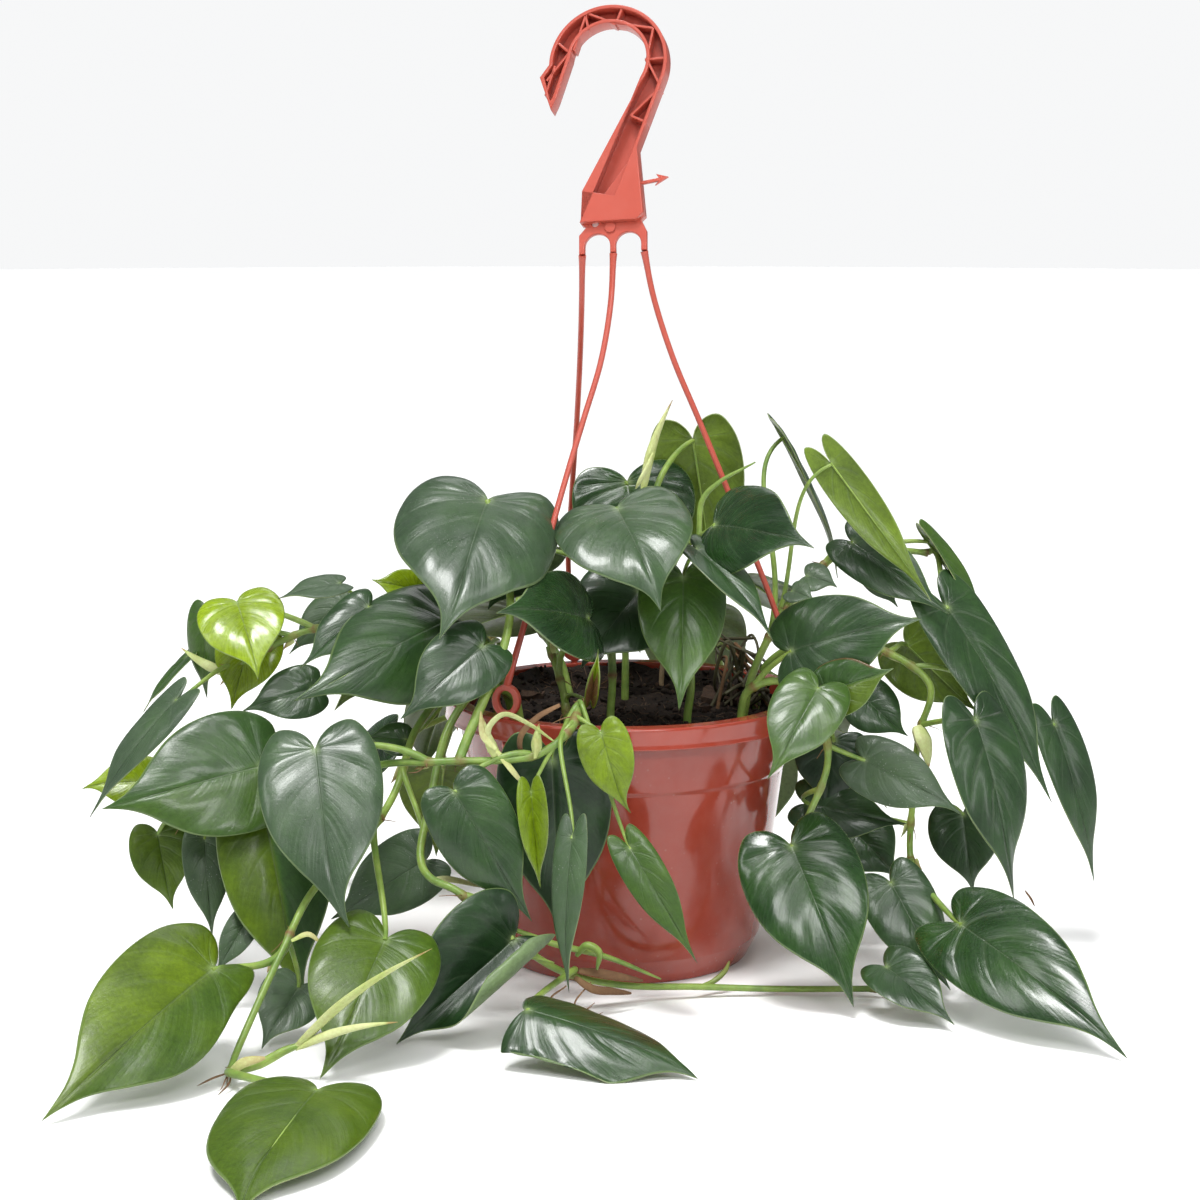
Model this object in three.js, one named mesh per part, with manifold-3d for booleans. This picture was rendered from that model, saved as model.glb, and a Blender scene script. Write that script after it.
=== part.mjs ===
// A potted heartleaf philodendron: plastic pot with a clip-on hanger, soil and trailing leafy stems.
// Millimetres, +Z up. The origin is the centre of the pot's foot, and the front is -Y.
import * as THREE from "three";
import { mergeVertices } from "three/addons/utils/BufferGeometryUtils.js";
import Module from "manifold-3d";

const wasm = await Module();
wasm.setup();

// Driving sizes
const potHeight = 140;
const potSides = 32;
const rimRadius = 95;
const rimDrop = 11;
const footRadius = 65;
const floorThick = 3;
const soilLevel = 127;
const soilMound = 5;
const gap = 0.35;
const clipCircle = 90.4;
const clipAngles = { frontLeft: -42, right: 78, back: -162 };
const pegRadius = 1.7;
const strandRadius = 1.5;
const plateFoot = [-7, 0, 377];
const hookTurn = 14;
const hookLean = 20;
const hookTilt = 4.8;
const hookDepth = 10;
const webThick = 2.4;
const bladeThick = 0.8;
const stemRadius = 2.2;
const petioleRadius = 1.5;
const petioleTuck = 6;
const petioleRise = 0.2;
const longPetiole = 48;
const holeDepth = 26;
const smallestStep = 0.2;

const radians = THREE.MathUtils.degToRad;
const vec = (p) => new THREE.Vector3(...p);

// Solids and meshes
function solid(geometry) {
  const bare = geometry.index ? geometry.toNonIndexed() : geometry;
  bare.deleteAttribute("normal");
  bare.deleteAttribute("uv");
  const merged = mergeVertices(bare, 1e-3);
  return new wasm.Manifold(
    new wasm.Mesh({
      numProp: 3,
      vertProperties: merged.attributes.position.array,
      triVerts: new Uint32Array(merged.index.array),
    }),
  );
}

function fused(solids) {
  const all = wasm.Manifold.union(solids);
  const outer = all.decompose().filter((body) => body.volume() > 0);
  return wasm.Manifold.union(outer).asOriginal().simplify(smallestStep);
}

function meshOf(name, body, material) {
  const { numProp, vertProperties, triVerts } = body.getMesh();
  const geometry = new THREE.BufferGeometry();
  geometry.setAttribute("position", new THREE.BufferAttribute(vertProperties, numProp));
  geometry.setIndex(new THREE.BufferAttribute(triVerts, 1));
  geometry.computeVertexNormals();
  const mesh = new THREE.Mesh(geometry, material);
  mesh.name = name;
  return mesh;
}

function polygon(radius, sides) {
  const shape = new THREE.Shape();
  for (let i = 0; i < sides; i += 1) {
    const turn = (2 * Math.PI * (i + 0.5)) / sides;
    const place = [radius * Math.cos(turn), radius * Math.sin(turn)];
    if (i === 0) shape.moveTo(...place);
    else shape.lineTo(...place);
  }
  return shape;
}

function tube(curve, radius, sides, steps) {
  return solid(
    new THREE.ExtrudeGeometry(polygon(radius, sides), { steps, extrudePath: curve }),
  );
}

function throughPoints(points) {
  return new THREE.CatmullRomCurve3(points.map(vec), false, "centripetal");
}

// A round piece on the line from one point to another; its profile is [radius, share of the length].
function turned(from, to, profile, sides) {
  const start = vec(from);
  const along = vec(to).sub(start);
  const length = along.length();
  const points = profile.map(([r, s]) => new THREE.Vector2(r, s * length));
  const geometry = new THREE.LatheGeometry(points, sides);
  const aim = new THREE.Quaternion().setFromUnitVectors(
    new THREE.Vector3(0, 1, 0),
    along.normalize(),
  );
  geometry.applyQuaternion(aim);
  geometry.translate(...start.toArray());
  return solid(geometry);
}

const rod = (from, to, radius, sides) =>
  turned(from, to, [[0, 0], [radius, 0], [radius, 1], [0, 1]], sides);

// A closed profile of [radius, height] points turned about the pot's axis
function lathe(profile, sides) {
  const points = profile.map(([r, z]) => new THREE.Vector2(r, z));
  const geometry = new THREE.LatheGeometry(points, sides);
  geometry.rotateX(Math.PI / 2);
  return geometry;
}

const onCircle = (radius, degrees, z) => [
  radius * Math.sin(radians(degrees)),
  -radius * Math.cos(radians(degrees)),
  z,
];

// Materials
const paint = (color, roughness) =>
  new THREE.MeshStandardMaterial({ color, roughness, metalness: 0 });
const potPaint = paint("#96402f", 0.3);
const hangerPaint = paint("#be5546", 0.4);
const soilPaint = paint("#2a201a", 0.95);
const leafPaint = paint("#3d5a34", 0.4);

// Pot: wall, foot with a chamfer, stepped body, and a rim whose skirt hangs clear of the wall
const innerWall = [
  [85.6, potHeight - 0.6],
  [83, 105],
  [81.6, 103],
  [69.4, 13],
  [63, floorThick],
];
const outerWall = [
  [footRadius, 0],
  [71, 12],
  [71.8, 13.4],
  [83.6, 103],
  [85, 105],
  [87.3, potHeight - rimDrop],
];
const skirt = [
  [87.8, potHeight - 2.4],
  [92.9, potHeight - 2.4],
  [93.3, potHeight - rimDrop],
  [rimRadius + 0.5, potHeight - rimDrop],
  [rimRadius, potHeight - rimDrop + 2.4],
  [rimRadius, potHeight - 0.8],
  [rimRadius - 0.8, potHeight],
  [86.2, potHeight],
];

function pot() {
  const profile = [[0, 0], ...outerWall, ...skirt, ...innerWall, [0, floorThick]];
  let body = solid(lathe(profile, potSides));
  for (const angle of Object.values(clipAngles)) {
    const low = onCircle(clipCircle, angle, potHeight - 4);
    const high = onCircle(clipCircle, angle, potHeight + 2);
    body = body.subtract(rod(low, high, pegRadius + gap, 12));
  }
  const drainHoles = 6;
  for (let i = 0; i < drainHoles; i += 1) {
    const angle = (360 / drainHoles) * (i + 0.5);
    const low = onCircle(48, angle, -1);
    const high = onCircle(48, angle, floorThick + 1);
    body = body.subtract(rod(low, high, 4, 10));
  }
  return meshOf("pot", body, potPaint);
}

// Soil: fills the pot, with an uneven top, a few bark chips, and a plain hole for each stem
const chips = [
  [68, 20, 128, 17, 9, 3, 20],
  [58, 34, 127.5, 14, 7, 3, -35],
  [12, -58, 127.5, 9, 5, 2.4, 60],
  [-50, 32, 128, 12, 6, 3, 10],
  [-8, 58, 128, 11, 7, 3, 75],
];

function soilRise(x, y) {
  const clods = Math.sin(x * 0.19 + 1.3) * Math.cos(y * 0.23) + 0.6 * Math.sin(x * 0.11 - y * 0.37);
  return 1.1 * clods + soilMound * THREE.MathUtils.smoothstep(y, -10, 60);
}

function soil(stems) {
  const side = innerWall.slice(1).map(([r, z]) => [r - gap, z + 0.3]);
  const rings = [0, 18, 36, 54, 70].map((r) => [r, soilLevel]);
  const profile = [[0, floorThick + 0.3], ...side.reverse()];
  profile.pop();
  profile.push([84.2, soilLevel - 3], ...rings.reverse());
  const geometry = lathe(profile, potSides);
  const place = geometry.attributes.position;
  for (let i = 0; i < place.count; i += 1) {
    if (place.getZ(i) > soilLevel - 4) {
      place.setZ(i, place.getZ(i) + soilRise(place.getX(i), place.getY(i)));
    }
  }
  const pieces = [solid(geometry)];
  for (const [x, y, z, long, wide, thick, turn] of chips) {
    const chip = new THREE.BoxGeometry(long, wide, thick);
    chip.rotateX(0.2);
    chip.rotateZ(radians(turn));
    chip.translate(x, y, z + soilRise(x, y));
    pieces.push(solid(chip));
  }
  let body = fused(pieces);
  for (const { route } of stems) {
    const [x, y] = route[0];
    const deep = soilLevel - holeDepth;
    body = body.subtract(rod([x, y, deep], [x, y, soilLevel + 9], stemRadius + 0.45, 10));
  }
  return meshOf("soil", body, soilPaint);
}

// Hanger: a flat hook whose plane leans back and is turned a little, and three strands to the rim
const turn = radians(hookTurn);
const lean = radians(hookLean);
const hookFront = new THREE.Vector3(
  -Math.sin(turn) * Math.cos(lean),
  -Math.cos(turn) * Math.cos(lean),
  Math.sin(lean),
);
const hookRight = new THREE.Vector3(Math.cos(turn), -Math.sin(turn), 0);
hookRight.applyAxisAngle(hookFront, radians(hookTilt));
const hookUp = hookFront.clone().cross(hookRight);

function inHookPlane(geometry) {
  const frame = new THREE.Matrix4().makeBasis(hookRight, hookUp, hookFront);
  frame.setPosition(...plateFoot);
  geometry.applyMatrix4(frame);
  return solid(geometry);
}

function slab(shape, depth, from) {
  const geometry = new THREE.ExtrudeGeometry(shape, {
    depth,
    bevelEnabled: false,
    curveSegments: 5,
  });
  geometry.translate(0, 0, from);
  return inHookPlane(geometry);
}

function bar(from, to, wide, depth, low) {
  const a = new THREE.Vector2(...from);
  const b = new THREE.Vector2(...to);
  const side = b.clone().sub(a).normalize().multiplyScalar(wide / 2);
  side.set(-side.y, side.x);
  const corners = [a.clone().add(side), a.clone().sub(side), b.clone().sub(side), b.clone().add(side)];
  return slab(new THREE.Shape(corners), depth, low);
}

const archRadius = 31.5;
const mouthRadius = 20.5;
const archCentre = [-1.6, 95.4];
const mouthCentre = [-1.6, 96.6];

// The hook's outline in its own plane, set in by a rim width for the recess behind the front edge
function hookOutline(inset) {
  const shape = new THREE.Shape();
  const outer = archRadius - inset;
  const inner = mouthRadius + inset;
  const foot = inset ? [[2, 22], [-14.4, 26]] : [[17, 12], [13.4, 8.6], [-16.4, 9]];
  shape.moveTo(...foot[0]);
  for (const corner of foot.slice(1)) shape.lineTo(...corner);
  shape.absarc(...mouthCentre, inner, radians(-32), radians(172), false);
  shape.lineTo(-29.4 - inset * 0.8, 77 + inset);
  shape.lineTo(-32 - inset * 0.2, 71.5 + inset * 2.6);
  shape.lineTo(-38 + inset * 1.2, 90);
  shape.absarc(...archCentre, outer, radians(178), radians(-21), true);
  shape.lineTo(13.8 - inset, 47.5);
  shape.closePath();
  return shape;
}

const truss = [
  [[-35, 80], [-30, 96]],
  [[-34.5, 88], [-22, 103]],
  [[-29, 109], [-21.5, 102]],
  [[-20, 103.5], [-13, 124]],
  [[-14, 124], [-12, 114]],
  [[-13.5, 124], [2.5, 116]],
  [[2.5, 116], [6.5, 126]],
  [[3, 116.5], [22.5, 112]],
  [[22.5, 112], [19, 95]],
  [[18, 95], [29.5, 95]],
  [[19, 95], [26, 80]],
  [[26, 79], [10.5, 65]],
  [[10.5, 65], [19, 60.5]],
];
const pillars = [-16, 0.4, 16.6];
const pillarFoot = -7;

function hook() {
  const back = -hookDepth / 2;
  const recess = slab(hookOutline(2), hookDepth, back + webThick);
  const pieces = [slab(hookOutline(0), hookDepth, back).subtract(recess)];
  for (const [from, to] of truss) pieces.push(bar(from, to, 1.1, hookDepth - 1.5, back + 1));
  const plate = new THREE.Shape();
  plate.moveTo(-16.4, 9);
  plate.lineTo(13.8, 48);
  plate.lineTo(17, 12);
  plate.lineTo(15.4, 9);
  plate.lineTo(18.2, 3);
  plate.lineTo(18.2, pillarFoot);
  plate.lineTo(15.2, pillarFoot);
  plate.absarc(8.5, -3.4, 6.7, radians(0), radians(180), false);
  plate.lineTo(1.9, pillarFoot);
  plate.lineTo(-1.1, pillarFoot);
  plate.absarc(-7.8, -3.4, 6.7, radians(0), radians(180), false);
  plate.lineTo(-14.5, pillarFoot);
  plate.lineTo(-17.5, pillarFoot);
  plate.lineTo(-17.5, 3);
  plate.lineTo(-14, 7);
  plate.closePath();
  pieces.push(slab(plate, 3, -1.5));
  pieces.push(bar([13, 29], [25, 30.5], 1.8, 2, -1));
  const barb = [[23, 33.5], [29.5, 31.5], [22.5, 27.5], [25, 30.3]];
  const barbShape = new THREE.Shape(barb.map((p) => new THREE.Vector2(...p)));
  pieces.push(slab(barbShape, 2, -1));
  const button = new THREE.Shape();
  button.absarc(-1, 6.2, 2.9, 0, 2 * Math.PI, false);
  pieces.push(slab(button, 1.6, 1));
  let body = fused(pieces);
  const slot = new THREE.Shape();
  slot.absarc(12, 29.4, 2.2, 0, Math.PI, false);
  slot.absarc(12.6, 16.2, 2.2, Math.PI, 2 * Math.PI, false);
  const eye = new THREE.Shape();
  eye.absarc(-9, 9, 1.9, 0, 2 * Math.PI, false);
  for (const hole of [slot, eye]) body = body.subtract(slab(hole, 3 * hookDepth, -1.5 * hookDepth));
  return meshOf("hook", body, hangerPaint);
}

// Routes of the strands below the plate's pillars, in millimetres
const strandRoutes = {
  frontLeft: [[-8, -8, 345], [-13, -19, 316], [-22, -32, 287], [-31, -45, 258], [-42, -58, 220]],
  right: [[14, -6, 348], [24, -9, 317], [38, -12, 284], [57, -15, 238], [74, -17, 196]],
  back: [[-23, 8, 344], [-24, 24, 315], [-26, 42, 278], [-29, 60, 236], [-31, 74, 196]],
};

// Each strand ends in an oval finger ring on the rim, with a pin through it and a bead below it
const ringTurns = { frontLeft: -18, right: 78, back: -162 };
const ringOuter = [7.4, 8.4];
const ringInner = [4, 5.2];
const ringDepth = 4;
const ringHeight = potHeight + 9;
const beadTop = potHeight - rimDrop - 0.5;
const beadBottom = beadTop - 5;
const bead = [[0, 0], [1.7, 0], [2.6, 0.3], [2.6, 0.7], [1.7, 1], [0, 1]];

function strand(name, pillar, route) {
  const angle = clipAngles[name];
  const clip = (radius, z) => onCircle(radius, angle, z);
  const top = vec(plateFoot)
    .addScaledVector(hookRight, pillar)
    .addScaledVector(hookUp, pillarFoot - 1);
  const path = throughPoints([top.toArray(), ...route, clip(clipCircle, ringHeight + 7)]);
  const ring = new THREE.Shape();
  ring.absellipse(0, 0, ...ringOuter, 0, 2 * Math.PI, false);
  const eye = new THREE.Path();
  eye.absellipse(0, 0, ...ringInner, 0, 2 * Math.PI, true);
  ring.holes.push(eye);
  const loop = new THREE.ExtrudeGeometry(ring, { depth: ringDepth, bevelEnabled: false, curveSegments: 4 });
  loop.translate(0, 0, -ringDepth / 2);
  loop.rotateX(Math.PI / 2);
  loop.rotateZ(radians(ringTurns[name]));
  loop.translate(...clip(clipCircle, ringHeight));
  const peg = rod(clip(clipCircle, beadTop - 1), clip(clipCircle, ringHeight - 6), pegRadius, 8);
  const knob = turned(clip(clipCircle, beadBottom), clip(clipCircle, beadTop), bead, 8);
  const body = fused([tube(path, strandRadius, 6, 12), solid(loop), peg, knob]);
  return meshOf("strand_" + name, body, hangerPaint);
}

// Leaves. Which way a blade's upper side looks
const up = [0, -0.4, 1];
const front = [0, -1, 0.5];
const frontUp = [0, -1, 1];
const frontLeft = [-0.7, -1, 0.5];
const frontRight = [0.7, -1, 0.5];
const left = [-1, -0.3, 0.4];
const steepLeft = [-1, -0.8, 0.3];
const edgeRight = [1, 0.05, 0.4];
const right = [1, -0.3, 0.4];
const back = [0, 1, 0.6];
const backLeft = [-0.8, 1, 0.5];
const backRight = [0.8, 1, 0.5];
const under = [0.2, 1, -0.3];

// One side of the heart outline from the sinus, round the lobe, to the drip tip:
// shares of the length and of the half width
const heartSide = [
  [-0.12, 0.38],
  [-0.11, 0.78],
  [0.12, 1],
  [0.4, 0.9],
  [0.66, 0.53],
  [0.86, 0.15],
];
const midrib = [0, 0.16, 0.45, 0.74, 1];
// Triangles of one half, as places in the list sinus, midrib 1 to 3, tip, side 1 to 6
const halfFaces = [
  [0, 5, 1],
  [1, 5, 6],
  [1, 6, 7],
  [1, 7, 8],
  [1, 8, 2],
  [2, 8, 9],
  [2, 9, 3],
  [3, 9, 10],
  [3, 10, 4],
];

// A leaf's own directions: along the blade, across it, and out of its upper side
function leafFrame(leaf) {
  const along = vec(leaf.tip).sub(vec(leaf.base));
  const length = along.length();
  along.normalize();
  const out = vec(leaf.face);
  out.addScaledVector(along, -out.dot(along)).normalize();
  const across = out.clone().cross(along);
  return { along, across, out, length };
}

// A point of the blade's middle layer, the blade's midrib being an arc from base to tip, and the
// direction out of its upper side there
function bladePoint(leaf, share, side) {
  const { along, across, out, length } = leafFrame(leaf);
  const droop = radians(leaf.droop);
  const fold = radians(leaf.fold);
  const reach = length / (2 * Math.sin(droop / 2));
  const lean = droop / 2 - droop * share;
  const normal = out.clone().multiplyScalar(Math.cos(lean)).addScaledVector(along, -Math.sin(lean));
  const point = vec(leaf.base)
    .addScaledVector(along, reach * (Math.sin(droop / 2) - Math.sin(lean)))
    .addScaledVector(out, reach * (Math.cos(lean) - Math.cos(droop / 2)))
    .addScaledVector(across, side * leaf.half * Math.cos(fold))
    .addScaledVector(normal, Math.abs(side) * leaf.half * Math.sin(fold));
  if (side) {
    normal.multiplyScalar(Math.cos(fold)).addScaledVector(across, -Math.sign(side) * Math.sin(fold));
  }
  return { point, normal };
}

function blade(leaf) {
  const upper = [];
  const lower = [];
  const place = (share, side) => {
    const { point, normal } = bladePoint(leaf, share, side);
    upper.push(point.clone().addScaledVector(normal, bladeThick / 2));
    lower.push(point.clone().addScaledVector(normal, -bladeThick / 2));
  };
  for (const share of midrib) place(share, 0);
  for (const hand of [1, -1]) for (const [share, side] of heartSide) place(share, hand * side);
  const count = upper.length;
  const perSide = heartSide.length;
  const faces = [];
  for (const [a, b, c] of halfFaces) {
    const shift = (i) => (i < midrib.length ? i : i + perSide);
    faces.push([a, c, b], [shift(a), shift(b), shift(c)]);
  }
  const first = midrib.length;
  const border = [0];
  for (let i = 0; i < perSide; i += 1) border.push(first + i);
  border.push(midrib.length - 1);
  for (let i = perSide - 1; i >= 0; i -= 1) border.push(first + perSide + i);
  const triangles = [];
  for (const [a, b, c] of faces) {
    triangles.push(a, b, c);
    triangles.push(a + count, c + count, b + count);
  }
  border.forEach((a, i) => {
    const b = border[(i + 1) % border.length];
    triangles.push(b + count, a + count, a);
    triangles.push(b + count, a, b);
  });
  const geometry = new THREE.BufferGeometry().setFromPoints([...upper, ...lower]);
  geometry.setIndex(triangles);
  return solid(geometry);
}

// The place on the axis of a stem's straight steps that is nearest to a share of its curve
function onAxis(stem, steps, share) {
  const smooth = stem.getPoint(share);
  const corners = stem.getSpacedPoints(steps);
  const places = corners.slice(1).map((corner, i) =>
    new THREE.Line3(corners[i], corner).closestPointToPoint(smooth, true, new THREE.Vector3()),
  );
  return places.sort((a, b) => a.distanceTo(smooth) - b.distanceTo(smooth))[0];
}

// A petiole leaves its stem along it and runs a little under the blade
function petiole(stem, start, leaf) {
  const { along, out, length } = leafFrame(leaf);
  const end = bladePoint(leaf, petioleTuck / length, 0).point.addScaledVector(out, -0.3);
  const span = end.distanceTo(start);
  const heading = stem.getTangent(leaf.at);
  const arrival = end.clone().sub(start).normalize().addScaledVector(along, 0.7).addScaledVector(out, 0.5);
  const handle = start.clone().addScaledVector(heading, 0.25 * span);
  handle.z += petioleRise * span;
  const last = end.clone().addScaledVector(arrival.normalize(), -0.3 * span);
  const curve = leaf.via
    ? throughPoints([start.toArray(), leaf.via, end.toArray()])
    : new THREE.CubicBezierCurve3(start, handle, last, end);
  return tube(curve, petioleRadius, 3, span > longPetiole ? 4 : 3);
}

const spindle = [[0, 0], [1, 0.04], [1.25, 0.35], [0.8, 0.75], [0, 1]];
const spike = (from, to, radius) =>
  turned(from, to, spindle.map(([r, s]) => [r * radius, s]), 5);

function vine(name, stem) {
  const path = throughPoints(stem.route);
  const steps = Math.max(4, Math.round(path.getLength() / 20));
  const pieces = [tube(path, stemRadius, 5, steps)];
  for (const leaf of stem.leaves) {
    pieces.push(blade(leaf), petiole(path, onAxis(path, steps, leaf.at), leaf));
  }
  for (const [from, to, radius] of stem.spikes ?? []) pieces.push(spike(from, to, radius));
  const [x, y, z] = stem.route[0];
  pieces.push(rod([x, y, soilLevel - holeDepth + gap], [x, y, z + 2], stemRadius, 5));
  return meshOf(name, fused(pieces), leafPaint);
}

// at: the petiole's place on the stem, as a share; base and tip: the ends of the midrib;
// half: half the blade's width; fold and droop: degrees; via: a place that the petiole passes
const leaf = (at, base, tip, face, half, fold, droop, via) =>
  ({ at, base, tip, face, half, fold, droop, via });

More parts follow.
